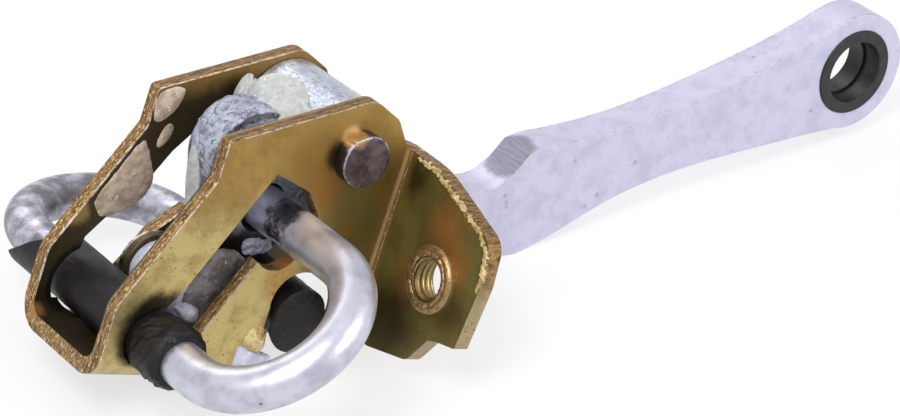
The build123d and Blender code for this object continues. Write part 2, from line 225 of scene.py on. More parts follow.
@dataclass
class Skin:
    """A grid of points that becomes a mesh.

    The grid may close on itself along its rows or its columns, and its first and last
    rows may be capped.
    """

    name: str
    grid: np.ndarray
    wrap_rows: bool = False
    wrap_columns: bool = False
    cap_ends: bool = False

    def build(self, space: YokeSpace) -> Piece:
        """Make the mesh object from the grid's quads, placed in the row's frame.

        Args:
            space: The yoke's space, which carries the points.

        Returns:
            The new object, at the origin, with smooth faces that point outwards.
        """
        rows, columns = self.grid.shape[:2]
        points = space.place(self.grid.reshape(-1, 3))
        row_steps = np.arange(rows if self.wrap_rows else rows - 1)
        column_steps = np.arange(columns if self.wrap_columns else columns - 1)
        row, column = np.meshgrid(row_steps, column_steps, indexing="ij")
        next_row, next_column = (row + 1) % rows, (column + 1) % columns
        quads = np.stack(
            [
                row * columns + column,
                row * columns + next_column,
                next_row * columns + next_column,
                next_row * columns + column,
            ],
            axis=-1,
        ).reshape(-1, 4)
        faces = quads.tolist()
        if self.cap_ends:
            faces.append(list(range(columns))[::-1])
            faces.append(list(range((rows - 1) * columns, rows * columns)))
        mesh = bpy.data.meshes.new(self.name)
        mesh.from_pydata(points.tolist(), [], faces)
        mesh.validate()
        work = bmesh.new()
        work.from_mesh(mesh)
        bmesh.ops.remove_doubles(work, verts=work.verts, dist=MERGE_MADE)
        bmesh.ops.recalc_face_normals(work, faces=work.faces)
        work.to_mesh(mesh)
        work.free()
        piece = linked(mesh, self.name)
        mesh.set_sharp_from_angle(angle=math.radians(SHARP_ANGLE))
        return piece


def linked(mesh: bpy.types.Mesh, name: str) -> Piece:
    """Shade a mesh smoothly and link an object for it.

    Args:
        mesh: The mesh.
        name: The object's name.

    Returns:
        The linked object.
    """
    mesh.polygons.foreach_set("use_smooth", np.ones(len(mesh.polygons), bool))
    piece = bpy.data.objects.new(name, mesh)
    bpy.context.scene.collection.objects.link(piece)
    return piece


def eased_copy(node: Piece, name: str, ease: float, steps: int) -> Piece:
    """Copy a CAD node with its sharp edges rounded, as tumbling and plating leave them.

    Args:
        node: The CAD node's object.
        name: The new piece's name.
        ease: The width of the rounding in millimetres.
        steps: The number of steps in the rounding.

    Returns:
        The new object, with the rounding applied to its mesh.
    """
    work = bmesh.new()
    work.from_mesh(node.data)
    bmesh.ops.remove_doubles(work, verts=work.verts, dist=MERGE_CAD)
    bmesh.ops.dissolve_limit(
        work, angle_limit=math.radians(MERGED_ANGLE), verts=work.verts, edges=work.edges
    )
    mesh = bpy.data.meshes.new(name)
    work.to_mesh(mesh)
    work.free()
    if "custom_normal" in mesh.attributes:
        mesh.attributes.remove(mesh.attributes["custom_normal"])
    piece = linked(mesh, name)
    rounding = piece.modifiers.new("ease", "BEVEL")
    rounding.width = ease * MM
    rounding.segments = steps
    rounding.limit_method = "ANGLE"
    rounding.angle_limit = math.radians(EASED_ANGLE)
    rounding.harden_normals = True
    rounding.use_clamp_overlap = True
    rounded = piece.evaluated_get(bpy.context.evaluated_depsgraph_get())
    applied = bpy.data.meshes.new_from_object(rounded)
    piece.modifiers.clear()
    piece.data = applied
    return piece


def dress(piece: Piece, material: Material) -> None:
    """Give a piece one material."""
    piece.data.materials.clear()
    piece.data.materials.append(material)


# ---------------------------------------------------------------------------
# Finishes
# ---------------------------------------------------------------------------
#
# In the finishes below, the last two numbers of a window and the first two of patches
# are the values between which a pattern fades in: millimetres for a place, and plain
# numbers up to 1 for noise or a direction. A number at the end of a coat is its
# strength. Noise is given by its size in millimetres, its detail and its roughness.


def tone(red: float, green: float, blue: float) -> Colour:
    """Return the linear colour of a screen colour.

    Args:
        red: The red channel, from 0 to 255.
        green: The green channel.
        blue: The blue channel.

    Returns:
        The colour with its three channels from 0 to 1, and an alpha of 1.
    """

    def linear(channel: float) -> float:
        """Undo the screen's curve for one channel."""
        share = channel / 255.0
        return share / 12.92 if share <= 0.04045 else ((share + 0.055) / 1.055) ** 2.4

    return (linear(red), linear(green), linear(blue), 1.0)


def plain(share: float) -> Colour:
    """Return a linear grey, which also serves as the colour of a roughness."""
    return (share, share, share, 1.0)


@dataclass(frozen=True)
class Tint:
    """A soft patch of colour at a place in the yoke's space, in millimetres.

    The strength is the colour's share in the middle, soft is the width over which it
    fades, and uneven is how far its outline wanders.
    """

    colour: Colour
    centre: Triple
    radius: float
    soft: float
    strength: float
    uneven: float = 2.5


class Graph:
    """A material's node tree, whose patterns read the yoke's space in millimetres."""

    def __init__(self, name: str, space: YokeSpace) -> None:
        """Start an empty material and set up its coordinates.

        Args:
            name: The material's name.
            space: The yoke's space, whose coordinates and directions the patterns read.
        """
        self.material = bpy.data.materials.new(name)
        self.material.use_nodes = True
        self.tree = self.material.node_tree
        self.tree.nodes.clear()
        coordinates = self.tree.nodes.new("ShaderNodeTexCoord")
        tilt = (0.0, space.tilt, 0.0)
        self.here = self.mapped(
            coordinates.outputs["Object"],
            Location=tuple(space.shift),
            Rotation=tilt,
            Scale=(MM, MM, MM),
        )
        self.facing = self.mapped(coordinates.outputs["Normal"], Rotation=tilt)

    def put(self, socket: Socket, value: Value) -> None:
        """Link a socket to another, or set its value.

        Args:
            socket: The input socket.
            value: An output socket to link, or a plain value.
        """
        if isinstance(value, bpy.types.NodeSocket):
            self.tree.links.new(value, socket)
        else:
            socket.default_value = value

    def mapped(self, vector: Socket, **undone: Triple) -> Socket:
        """Return a vector with a shift, a turn and a scale undone.

        Args:
            vector: The vector.
            undone: The Location, Rotation and Scale to undo, where there are any.

        Returns:
            The vector that they would have carried to the given one.
        """
        node = self.tree.nodes.new("ShaderNodeMapping")
        node.vector_type = "TEXTURE"
        for name, value in undone.items():
            node.inputs[name].default_value = value
        self.put(node.inputs["Vector"], vector)
        return node.outputs["Vector"]

    def stretched(self, sizes: Triple, turn: Triple = (0.0, 0.0, 0.0)) -> Socket:
        """Return the coordinates divided by a size along each axis, after a turn."""
        return self.mapped(self.here, Rotation=turn, Scale=sizes)

    def number(self, operation: str, first: Value, second: Value = 0.0) -> Socket:
        """Return the result of a Math node.

        Args:
            operation: The node's operation.
            first: Its first value.
            second: Its second value, where the operation has one.

        Returns:
            The result.
        """
        node = self.tree.nodes.new("ShaderNodeMath")
        node.operation = operation
        self.put(node.inputs[0], first)
        self.put(node.inputs[1], second)
        return node.outputs[0]

    def chain(self, operation: str, values: Sequence[Value]) -> Value:
        """Join values by an operation, one after another.

        Args:
            operation: The Math node's operation.
            values: At least one value; a single one comes back as it is.

        Returns:
            The result.
        """
        result = values[0]
        for value in values[1:]:
            result = self.number(operation, result, value)
        return result

    def times(self, *values: Value) -> Value:
        """Return the product of the values."""
        return self.chain("MULTIPLY", values)

    def plus(self, *values: Value) -> Value:
        """Return the sum of the values."""
        return self.chain("ADD", values)

    def less(self, first: Value, second: Value) -> Socket:
        """Return the first value less the second."""
        return self.number("SUBTRACT", first, second)

    def either_way(self, value: Value) -> Socket:
        """Return a value without its sign."""
        return self.number("ABSOLUTE", value)

    def axis(self, vector: Socket, index: int) -> Socket:
        """Return one coordinate of a vector.

        Args:
            vector: The vector.
            index: 0 for x, 1 for y and 2 for z.

        Returns:
            The coordinate.
        """
        node = self.tree.nodes.new("ShaderNodeSeparateXYZ")
        self.put(node.inputs[0], vector)
        return node.outputs[index]

    def noise(
        self,
        size: float,
        detail: float = 3.0,
        rough: float = 0.55,
        where: Socket | None = None,
        bend: float = 0.0,
    ) -> Socket:
        """Return soft random values from 0 to 1.

        Args:
            size: The size of the blotches.
            detail: How many finer layers are added.
            rough: How strong the finer layers are.
            where: The coordinates, where they aren't the plain ones.
            bend: How far the pattern is twisted.

        Returns:
            The values.
        """
        node = self.tree.nodes.new("ShaderNodeTexNoise")
        node.inputs["Scale"].default_value = 1.0 / size
        node.inputs["Detail"].default_value = detail
        node.inputs["Roughness"].default_value = rough
        node.inputs["Distortion"].default_value = bend
        self.put(node.inputs["Vector"], where or self.here)
        return node.outputs["Fac"]

    def cells(self, size: float) -> Socket:
        """Return the distance to the nearest of points that are strewn at random.

        Args:
            size: The mean distance between the points, which is also the unit.

        Returns:
            The distance.
        """
        node = self.tree.nodes.new("ShaderNodeTexVoronoi")
        node.inputs["Scale"].default_value = 1.0 / size
        self.put(node.inputs["Vector"], self.here)
        return node.outputs["Distance"]

    def ranged(self, value: Value, source: Pair, target: Pair, curve: str) -> Socket:
        """Carry a value from one range to another, and hold it at the ends.

        Args:
            value: The value.
            source: The least and the greatest value that count.
            target: What these become.
            curve: The kind of the rise between them.

        Returns:
            The carried value.
        """
        node = self.tree.nodes.new("ShaderNodeMapRange")
        node.interpolation_type = curve
        for name, limit in zip(("From Min", "From Max", "To Min", "To Max"), source + target):
            node.inputs[name].default_value = limit
        self.put(node.inputs["Value"], value)
        return node.outputs["Result"]

    def window(self, value: Value, low: float, high: float) -> Socket:
        """Return 0 at low and 1 at high, with a smooth rise; low may be the larger."""
        ends = ((high, low), (1.0, 0.0)) if low > high else ((low, high), (0.0, 1.0))
        return self.ranged(value, *ends, "SMOOTHSTEP")

    def patches(
        self,
        low: float,
        high: float,
        size: float,
        detail: float = 3.0,
        rough: float = 0.55,
        where: Socket | None = None,
        bend: float = 0.0,
    ) -> Socket:
        """Return patches of noise, with a soft outline.

        Args:
            low: The noise at which a patch starts.
            high: The noise at which it is full; it may be the smaller.
            size: The size of the noise's blotches.
            detail: How many finer layers the noise has.
            rough: How strong the finer layers are.
            where: The coordinates, where they aren't the plain ones.
            bend: How far the noise is twisted.

        Returns:
            1 in the patches and 0 between them.
        """
        return self.window(self.noise(size, detail, rough, where, bend), low, high)

    def spread(self, value: Value, low: float, high: float) -> Socket:
        """Return the value, which runs from 0 to 1, carried to the range low to high."""
        return self.ranged(value, (0.0, 1.0), (low, high), "LINEAR")

    def blend(self, share: Value, under: Value, over: Value) -> Socket:
        """Return a mix of two colours.

        Args:
            share: The second colour's share, from 0 to 1.
            under: The first colour.
            over: The second colour.

        Returns:
            The mix.
        """
        node = self.tree.nodes.new("ShaderNodeMix")
        node.data_type = "RGBA"
        self.put(node.inputs[0], share)
        self.put(node.inputs[6], under)
        self.put(node.inputs[7], over)
        return node.outputs[2]

    def coat(self, under: Value, over: Value, *shares: Value) -> Socket:
        """Return a colour with another laid over it, by the product of the shares."""
        return self.blend(self.times(*shares), under, over)

    def spot(
        self, centre: Triple, radius: float, soft: float, uneven: float = 0.0, size: float = 4.0
    ) -> Socket:
        """Return 1 near a place in the yoke's space and 0 past the radius.

        Args:
            centre: The spot's middle.
            radius: Its mean radius.
            soft: The width over which it fades.
            uneven: How far its outline wanders, in millimetres.
            size: The size of the outline's waves.

        Returns:
            The spot's strength.
        """
        node = self.tree.nodes.new("ShaderNodeVectorMath")
        node.operation = "DISTANCE"
        self.put(node.inputs[0], self.here)
        node.inputs[1].default_value = centre
        distance = node.outputs["Value"]
        if uneven:
            wander = self.less(self.noise(size), 0.5)
            distance = self.plus(distance, self.times(wander, 2.0 * uneven))
        return self.window(distance, radius + soft / 2.0, radius - soft / 2.0)

    def tinted(self, colour: Socket, tints: Sequence[Tint]) -> Socket:
        """Lay soft patches over a colour, one after another.

        Args:
            colour: The colour.
            tints: The patches.

        Returns:
            The colour with the patches.
        """
        for tint in tints:
            spot = self.spot(tint.centre, tint.radius, tint.soft, tint.uneven)
            colour = self.coat(colour, tint.colour, spot, tint.strength)
        return colour

    def bump(self, height: Value, depth: float) -> Socket:
        """Return a normal that a height pattern dents.

        Args:
            height: The pattern, from 0 to 1.
            depth: Its depth in millimetres.

        Returns:
            The normal.
        """
        node = self.tree.nodes.new("ShaderNodeBump")
        node.inputs["Strength"].default_value = 1.0
        node.inputs["Distance"].default_value = depth * MM
        self.put(node.inputs["Height"], height)
        return node.outputs["Normal"]

    def finish(self, **sockets: Value) -> Material:
        """End the tree in a Principled shader.

        Args:
            sockets: The shader's inputs by name, with underscores for spaces.

        Returns:
            The material.
        """
        shader = self.tree.nodes.new("ShaderNodeBsdfPrincipled")
        for name, value in sockets.items():
            self.put(shader.inputs[name.replace("_", " ")], value)
        output = self.tree.nodes.new("ShaderNodeOutputMaterial")
        self.tree.links.new(shader.outputs[0], output.inputs["Surface"])
        return self.material


@dataclass(frozen=True)
class YellowZinc:
    """Yellow-passivated zinc on pressed plate: khaki gold with olive and orange tints."""

    pale: Colour = tone(200, 182, 122)
    gold: Colour = tone(170, 140, 78)
    brown: Colour = tone(146, 112, 56)
    orange: Colour = tone(172, 112, 54)
    copper: Colour = tone(200, 138, 74)
    amber: Colour = tone(236, 208, 160)
    olive: Colour = tone(130, 117, 68)
    green: Colour = tone(144, 138, 78)
    sheared: Colour = tone(160, 124, 80)
    torn: Colour = tone(84, 60, 32)
    spark: Colour = tone(240, 206, 138)
    rosy: Colour = tone(196, 158, 116)
    burr_highlight: Colour = tone(236, 222, 208)
    dusty: Colour = tone(176, 162, 128)
    soot_and_shade: Colour = tone(26, 21, 20)
    shade: Colour = tone(48, 40, 24)

    def face(self, graph: Graph) -> Socket:
        """Mix the colour of the plate's flat outer faces.

        Args:
            graph: The material's node tree.

        Returns:
            The faces' colour.
        """
        height = graph.plus(graph.axis(graph.here, 2), graph.times(graph.noise(9.0), 14.0))
        low = graph.window(height, 47.0, 36.0)
        face = graph.blend(low, self.gold, self.pale)
        face = graph.coat(face, self.brown, graph.patches(0.42, 0.66, 4.0, 5.0, 0.65), 0.5)
        side = -PLAN.half_width
        tints = (
            Tint(self.orange, (-4.5, side, 39.5), 5.0, 7.0, 0.55),
            Tint(self.orange, (-9.0, side, 21.0), 3.5, 4.0, 0.5),
            Tint(self.olive, (6.5, side, 37.5), 9.5, 7.0, 0.95),
            Tint(self.olive, (6.0, side, 26.0), 11.0, 8.0, 0.9),
            Tint(self.orange, (2.5, side, 32.0), 1.8, 3.5, 0.4),
            Tint(self.orange, (8.6, side, 40.0), 1.6, 3.0, 0.45),
            Tint(self.brown, (-8.0, side, 46.0), 6.0, 9.0, 0.5),
            # A painted amber highlight at the pin's upper left, and the pin's painted shadow at
            # its left
            Tint(self.amber, (-2.8, side, 51.2), 2.2, 1.4, 0.65, 0.6),
            Tint(self.soot_and_shade, (-4.6, side, 47.2), 2.6, 2.2, 0.75, 0.5),
        )
        return graph.tinted(face, tints)

    def lug(self, graph: Graph) -> Socket:
        """Mix the colour of the lug's front face.

        Args:
            graph: The material's node tree.

        Returns:
            The face's colour.
        """
        # Olive and green tarnish, whose darkness is painted shade of a face turned from the light
        tarnish_and_shade = graph.blend(graph.patches(0.4, 0.6, 9.0, 3.0), self.olive, self.green)
        tints = (
            Tint(self.copper, (12.0, -31.0, 41.0), 4.5, 8.0, 0.7),
            Tint(self.copper, (12.0, -36.5, 36.0), 3.0, 7.0, 0.7),
            Tint(self.copper, (12.0, -25.0, 27.0), 4.0, 8.0, 0.45),
            Tint(self.brown, (12.0, -29.0, 47.0), 3.0, 6.0, 0.6),
            Tint(self.shade, (12.0, -22.0, 17.0), 8.0, 10.0, 0.8),
            Tint(self.torn, (12.0, -38.0, 28.0), 4.0, 6.0, 0.7),
            Tint(self.shade, (12.0, -18.0, 46.0), 3.0, 5.0, 0.8),
        )
        return graph.tinted(tarnish_and_shade, tints)

    def material(self, space: YokeSpace) -> Material:
        """Build the finish: tinted faces, sheared edges, specks, smudges, painted shade and
        highlights.

        Args:
            space: The yoke's space, which the patterns follow.

        Returns:
            The material.
        """
        graph = Graph("yellow_zinc", space)
        along, across = graph.axis(graph.here, 0), graph.axis(graph.here, 1)
        height = graph.axis(graph.here, 2)
        # The flat faces, the lug beyond the near cheek, its collar and its bend
        beyond = graph.window(across, -PLAN.half_width - 0.6, -PLAN.half_width - 1.6)
        front = graph.window(along, PLAN.lug_face_x + 1.0, PLAN.lug_face_x + 0.4)
        colour = graph.blend(graph.times(beyond, front), self.face(graph), self.lug(graph))
        collar = graph.window(along, PLAN.lug_face_x - 0.25, PLAN.lug_face_x - 0.7)
        colour = graph.coat(colour, self.rosy, beyond, collar, 0.55)
        crumbs = graph.patches(0.48, 0.58, 0.9, 4.0, 0.7)
        colour = graph.coat(colour, self.torn, beyond, collar, crumbs, 0.6)
        bend = graph.times(
            graph.window(graph.plus(along, graph.times(graph.noise(3.0), 1.0)), 9.6, 10.6),
            graph.window(across, -11.5, -12.6),
            graph.window(across, -17.0, -15.6),
        )
        colour = graph.coat(colour, self.sheared, bend, 0.5)

        # The cheeks' inner sides, in painted shade: darker towards the web, browner under the rim
        inside = graph.window(graph.either_way(across), 11.5, 10.95)
        wander = graph.times(graph.less(graph.noise(7.0, 3.0), 0.5), 9.0)
        rim_glow = graph.window(graph.plus(height, graph.times(along, -0.31), wander), 52.0, 58.0)
        deep = graph.blend(rim_glow, self.shade, self.brown)
        deep = graph.coat(deep, self.soot_and_shade, graph.window(graph.plus(height, wander), 13.0, 8.0))
        # A painted pool of light on the far cheek's inner side
        lit = graph.times(graph.spot((-39.6, 10.8, 22.0), 2.4, 3.0, 2.0), 0.8)
        deep = graph.coat(deep, self.gold, lit)
        colour = graph.coat(colour, deep, inside, 0.94)

        # The sheared edges: the surfaces that face along the plate
        turned_y, turned_x = graph.axis(graph.facing, 1), graph.axis(graph.facing, 0)
        rim = graph.window(graph.either_way(turned_y), 0.6, 0.3)
        lug_rim = graph.window(graph.either_way(turned_x), 0.6, 0.3)
        edge = graph.blend(beyond, rim, lug_rim)
        edge = graph.times(edge, graph.less(1.0, graph.times(inside, 0.96)))
        web_edge = graph.times(
            graph.window(turned_x, -0.45, -0.7), graph.window(height, 9.0, 6.0), inside
        )
        edge = graph.number("MAXIMUM", edge, web_edge)
        grain = graph.noise(0.8, 5.0, 0.72, graph.stretched((3.0, 0.5, 3.0)), 0.4)
        sheared = graph.blend(graph.window(grain, 0.38, 0.6), self.torn, self.sheared)
        # Painted glints, most on the slope that faces the light
        slope = graph.times(graph.window(turned_x, -0.3, -0.6), 0.07)
        sparkle = graph.plus(graph.noise(0.5, 3.0, 0.7, graph.stretched((1.6, 0.7, 1.6))), slope)
        sheared = graph.coat(sheared, self.spark, graph.window(sparkle, 0.62, 0.69))
        grooves = graph.window(graph.either_way(graph.plus(across, 11.9)), 0.35, 0.1)
        sheared = graph.coat(sheared, self.torn, grooves, 0.55)
        pale_rim = graph.times(beyond, graph.window(height, 40.0, 30.0), 0.75)
        sheared = graph.coat(sheared, self.dusty, pale_rim)
        colour = graph.coat(colour, sheared, edge)

        # Painted burr highlights, painted shade in the far hollow and grooves, copper spots
        ragged = graph.times(graph.less(graph.noise(1.4, 4.0, 0.65), 0.5), 1.1)
        line = graph.plus(graph.either_way(across), ragged)
        near_line = graph.times(
            graph.window(line, 13.5, 13.7), graph.window(across, -12.0, -13.0), rim
        )
        far_line = graph.times(
            graph.window(line, 11.5, 11.25),
            graph.window(across, 10.0, 10.5),
            rim,
            graph.window(height, 6.5, 8.5),
        )
        on_cheek = graph.window(across, -PLAN.half_width - 0.9, -PLAN.half_width - 0.4)
        # A painted highlight along the burrs of the cheeks' edges
        burr = graph.times(graph.number("MAXIMUM", near_line, far_line), on_cheek)
        burr = graph.times(burr, graph.patches(0.4, 0.56, 1.6, 5.0, 0.7), 0.7)
        colour = graph.coat(colour, self.burr_highlight, burr)
        # Painted shade in the hollow round the heel sleeve on the far cheek
        hollow = graph.spot((PLAN.heel[0], 12.4, PLAN.heel[1]), 8.7, 0.8)
        far_side = graph.window(across, 9.0, 10.0)
        colour = graph.coat(colour, self.soot_and_shade, hollow, far_side, 0.9)
        # Painted shade in the thread's grooves at the hole's wall
        turn_y = graph.plus(across, -PLAN.thread_centre[0])
        turn_z = graph.plus(height, -PLAN.thread_centre[1])
        radius = graph.number(
            "SQRT", graph.plus(graph.times(turn_y, turn_y), graph.times(turn_z, turn_z))
        )
        groove_shade = graph.times(
            graph.window(radius, 3.95, 4.2), graph.window(radius, 4.4, 4.3), beyond
        )
        colour = graph.coat(colour, self.torn, groove_shade, 0.85)
        # A painted copper reflection on the near slot's lower rim, and a copper spot low on the
        # far cheek
        copper_glint_and_spot = (
            Tint(self.copper, (-8.0, -12.0, 24.0), 2.2, 1.4, 0.75, 0.8),
            Tint(self.copper, (-43.0, 9.8, 2.4), 1.6, 1.4, 0.5, 0.8),
        )
        colour = graph.tinted(colour, copper_glint_and_spot)

        # Specks, fine pits, and the black smudge round the heel sleeve
        specks = graph.window(graph.cells(1.25), 0.2, 0.12)
        specks = graph.times(specks, graph.patches(0.5, 0.58, 2.2, 2.0))
        specks = graph.times(specks, graph.window(height, 44.0, 26.0))
        colour = graph.coat(colour, self.torn, specks, 0.8)
        fine = graph.patches(0.6, 0.7, 0.45, 2.0, 0.6)
        colour = graph.coat(colour, self.torn, fine, 0.28)
        smudge = graph.spot((PLAN.heel[0] + 0.6, -15.0, PLAN.heel[1] + 1.2), 8.6, 3.0, 1.8, 3.0)
        outside = graph.window(across, -PLAN.half_width + 0.8, -PLAN.half_width + 0.2)
        colour = graph.coat(colour, self.soot_and_shade, smudge, outside, 0.94)

        # The relief and the gloss
        relief = graph.plus(
            graph.times(graph.noise(0.5, 3.0), 0.35), graph.times(edge, grain, 3.0)
        )
        normal = graph.bump(relief, 0.09)
        rough = graph.spread(graph.noise(2.0, 3.0), 0.32, 0.5)
        metal = graph.less(0.85, graph.times(inside, 0.35))
        return graph.finish(Base_Color=colour, Metallic=metal, Roughness=rough, Normal=normal)


@dataclass(frozen=True)
class BrightZinc:
    """Bright zinc on a thick pressed lever, with a greasy nose in painted shade low down, and
    streaked hub.
    """

    pale: Colour = tone(202, 200, 220)
    cool: Colour = tone(189, 187, 209)
    rub: Colour = tone(146, 144, 162)
    streak: Colour = tone(152, 152, 168)
    sheared: Colour = tone(128, 126, 138)
    film: Colour = tone(186, 193, 206)
    wet: Colour = tone(112, 110, 126)
    pit_and_shade: Colour = tone(34, 30, 28)

    def material(self, space: YokeSpace) -> Material:
        """Build the finish: mottled sides, rubbed edges, the rough scoop and the grease.

        Args:
            space: The yoke's space, which the patterns follow.

        Returns:
            The material.
        """
        graph = Graph("bright_zinc", space)
        along, height = graph.axis(graph.here, 0), graph.axis(graph.here, 2)
        colour = graph.blend(graph.patches(0.4, 0.66, 5.0, 6.0, 0.68), self.pale, self.cool)
        rubs = graph.patches(0.56, 0.7, 1.1, 5.0, 0.7, graph.stretched((2.0, 1.0, 1.0)))
        colour = graph.coat(colour, self.rub, rubs, 0.3)
        marks = graph.window(graph.cells(4.5), 0.16, 0.09)
        marks = graph.times(marks, graph.patches(0.5, 0.56, 5.0, 2.0))
        colour = graph.coat(colour, self.sheared, marks, 0.45)
        side = graph.window(graph.either_way(graph.axis(graph.facing, 1)), 0.55, 0.85)
        top = graph.less(1.0, side)
        spread = graph.either_way(graph.axis(graph.here, 1))
        brink = graph.window(
            graph.plus(spread, graph.times(graph.noise(1.6, 4.0), 1.6)), 4.3, 5.0
        )
        brink = graph.times(brink, graph.patches(0.5, 0.6, 1.3, 5.0, 0.7), top)
        colour = graph.coat(colour, self.rub, brink, 0.55)
        ribs = graph.noise(1.0, 3.0, 0.6, graph.stretched((0.4, 5.0, 0.4)))
        scoop = graph.spot((50.2, 0.0, 44.8), 5.4, 1.6, 1.2, 3.0)
        ribbed = graph.blend(graph.window(ribs, 0.35, 0.65), self.sheared, self.rub)
        colour = graph.coat(colour, ribbed, scoop, top, 0.9)

        # The greasy nose and hub, with painted shade on the nose's lower part
        greasy = graph.window(graph.plus(along, graph.times(graph.noise(5.0), 8.0)), 16.0, 12.0)
        lines = graph.noise(
            1.0, 5.0, 0.65, graph.stretched((0.9, 4.0, 0.9), (0.3, 0.0, 0.5)), 0.6
        )
        smear = graph.blend(graph.window(lines, 0.36, 0.6), self.streak, self.film)
        nose = graph.window(along, -8.0, -11.0)
        patches = graph.patches(0.46, 0.58, 3.2, 4.0, 0.6)
        smear = graph.coat(smear, self.wet, nose, patches, 0.95)
        smear = graph.coat(smear, self.pit_and_shade, graph.window(height, 29.0, 25.0))
        colour = graph.coat(colour, smear, greasy)

        relief = graph.plus(
            graph.times(graph.noise(1.1, 4.0, 0.6), 0.6),
            graph.times(graph.noise(0.25, 2.0), 0.2),
            graph.times(greasy, lines, 2.2),
            graph.times(scoop, ribs, 2.0),
        )
        normal = graph.bump(relief, 0.1)
        rough = graph.spread(graph.noise(3.0, 3.0), 0.46, 0.62)
        rough = graph.coat(rough, plain(0.16), greasy)
        return graph.finish(Base_Color=colour, Metallic=0.5, Roughness=rough, Normal=normal)


@dataclass(frozen=True)
class RodZinc:
    """Bright zinc on drawn round rod: smooth silver with soft blotches and small rubs."""

    silver: Colour = tone(209, 209, 222)
    grey: Colour = tone(186, 185, 200)
    dull: Colour = tone(116, 112, 118)
    white: Colour = tone(232, 232, 242)
    wet: Colour = tone(66, 62, 58)
    pit_and_shade: Colour = tone(92, 88, 96)

    def material(self, space: YokeSpace) -> Material:
        """Build the finish, with dark grease and painted shade where the rod enters the slot.

        Args:
            space: The yoke's space, which the patterns follow.

        Returns:
            The material.
        """
        graph = Graph("rod_zinc", space)
        colour = graph.blend(graph.patches(0.4, 0.66, 6.0, 4.0, 0.6), self.silver, self.grey)
        rubs = graph.patches(0.58, 0.7, 1.5, 4.0, 0.65)
        colour = graph.coat(colour, self.grey, rubs, 0.35)
        pits = graph.window(graph.cells(4.0), 0.1, 0.06)
        pits = graph.times(pits, graph.patches(0.5, 0.56, 6.0, 2.0))
        colour = graph.coat(colour, self.pit_and_shade, pits, 0.8)
        # Dark wet grease where the rod enters the slot, darkened further as painted shade of the
        # near cheek
        mouth = (PLAN.crown[0] - 1.5, -14.0, PLAN.crown[1] + 1.0)
        wet = graph.spot(mouth, 4.4, 1.4, 2.4, 3.5)
        # Painted shade: darker blotches on the far part of the bow
        far = graph.window(graph.axis(graph.here, 1), 15.0, 24.0)
        blotches = graph.patches(0.35, 0.6, 5.0, 5.0, 0.65)
        colour = graph.coat(colour, self.dull, far, blotches, 0.85)
        colour = graph.coat(colour, self.wet, wet, 0.88)
        # A painted highlight on the rod above the slot's mouth
        sheen = graph.spot((PLAN.crown[0] + 1.0, -20.0, PLAN.crown[1] + 3.4), 4.4, 3.0, 1.0)
        colour = graph.coat(colour, self.white, sheen, 0.8)
        relief = graph.plus(
            graph.noise(1.6, 3.0, 0.6), graph.times(wet, graph.noise(2.2, 3.0), 4.0)
        )
        normal = graph.bump(relief, 0.04)
        rough = graph.spread(graph.noise(4.0, 2.0), 0.36, 0.44)
        rough = graph.coat(rough, plain(0.1), wet)
        rough = graph.coat(rough, plain(0.6), sheen, 0.6)
        return graph.finish(Base_Color=colour, Metallic=0.92, Roughness=rough, Normal=normal)


@dataclass(frozen=True)
class Rubber:
    """Black rubber hose, dull, with a brownish bloom and fine creases."""

    black: Colour = tone(10, 7, 7)
    bloom: Colour = tone(33, 26, 25)

    def material(self, space: YokeSpace) -> Material:
        """Build the finish.

        Args:
            space: The yoke's space, which the patterns follow.

        Returns:
            The material.
        """
        graph = Graph("black_rubber", space)
        patchy = graph.patches(0.45, 0.72, 3.0, 5.0, 0.65)
        colour = graph.blend(graph.times(patchy, 0.7), self.black, self.bloom)
        creases = graph.noise(1.0, 4.0, 0.6, graph.stretched((1.2, 4.0, 1.2)))
        normal = graph.bump(graph.plus(creases, graph.times(graph.noise(0.3, 2.0), 0.3)), 0.25)
        rough = graph.spread(graph.noise(1.6, 3.0), 0.36, 0.6)
        return graph.finish(
            Base_Color=colour, Roughness=rough, Specular_IOR_Level=0.35, Normal=normal
        )


@dataclass(frozen=True)
class BushPlastic:
    """Dark moulded plastic of the eye's bush."""

    dark: Colour = tone(18, 14, 14)
    edge: Colour = tone(36, 29, 29)

    def material(self, space: YokeSpace) -> Material:
        """Build the finish.

        Args:
            space: The yoke's space, which the patterns follow.

        Returns:
            The material.
        """
        graph = Graph("dark_bush", space)
        colour = graph.blend(graph.patches(0.45, 0.7, 2.5, 4.0), self.dark, self.edge)
        normal = graph.bump(graph.noise(0.4, 3.0), 0.03)
        rough = graph.spread(graph.noise(2.0, 2.0), 0.38, 0.52)
        return graph.finish(Base_Color=colour, Roughness=rough, Normal=normal)


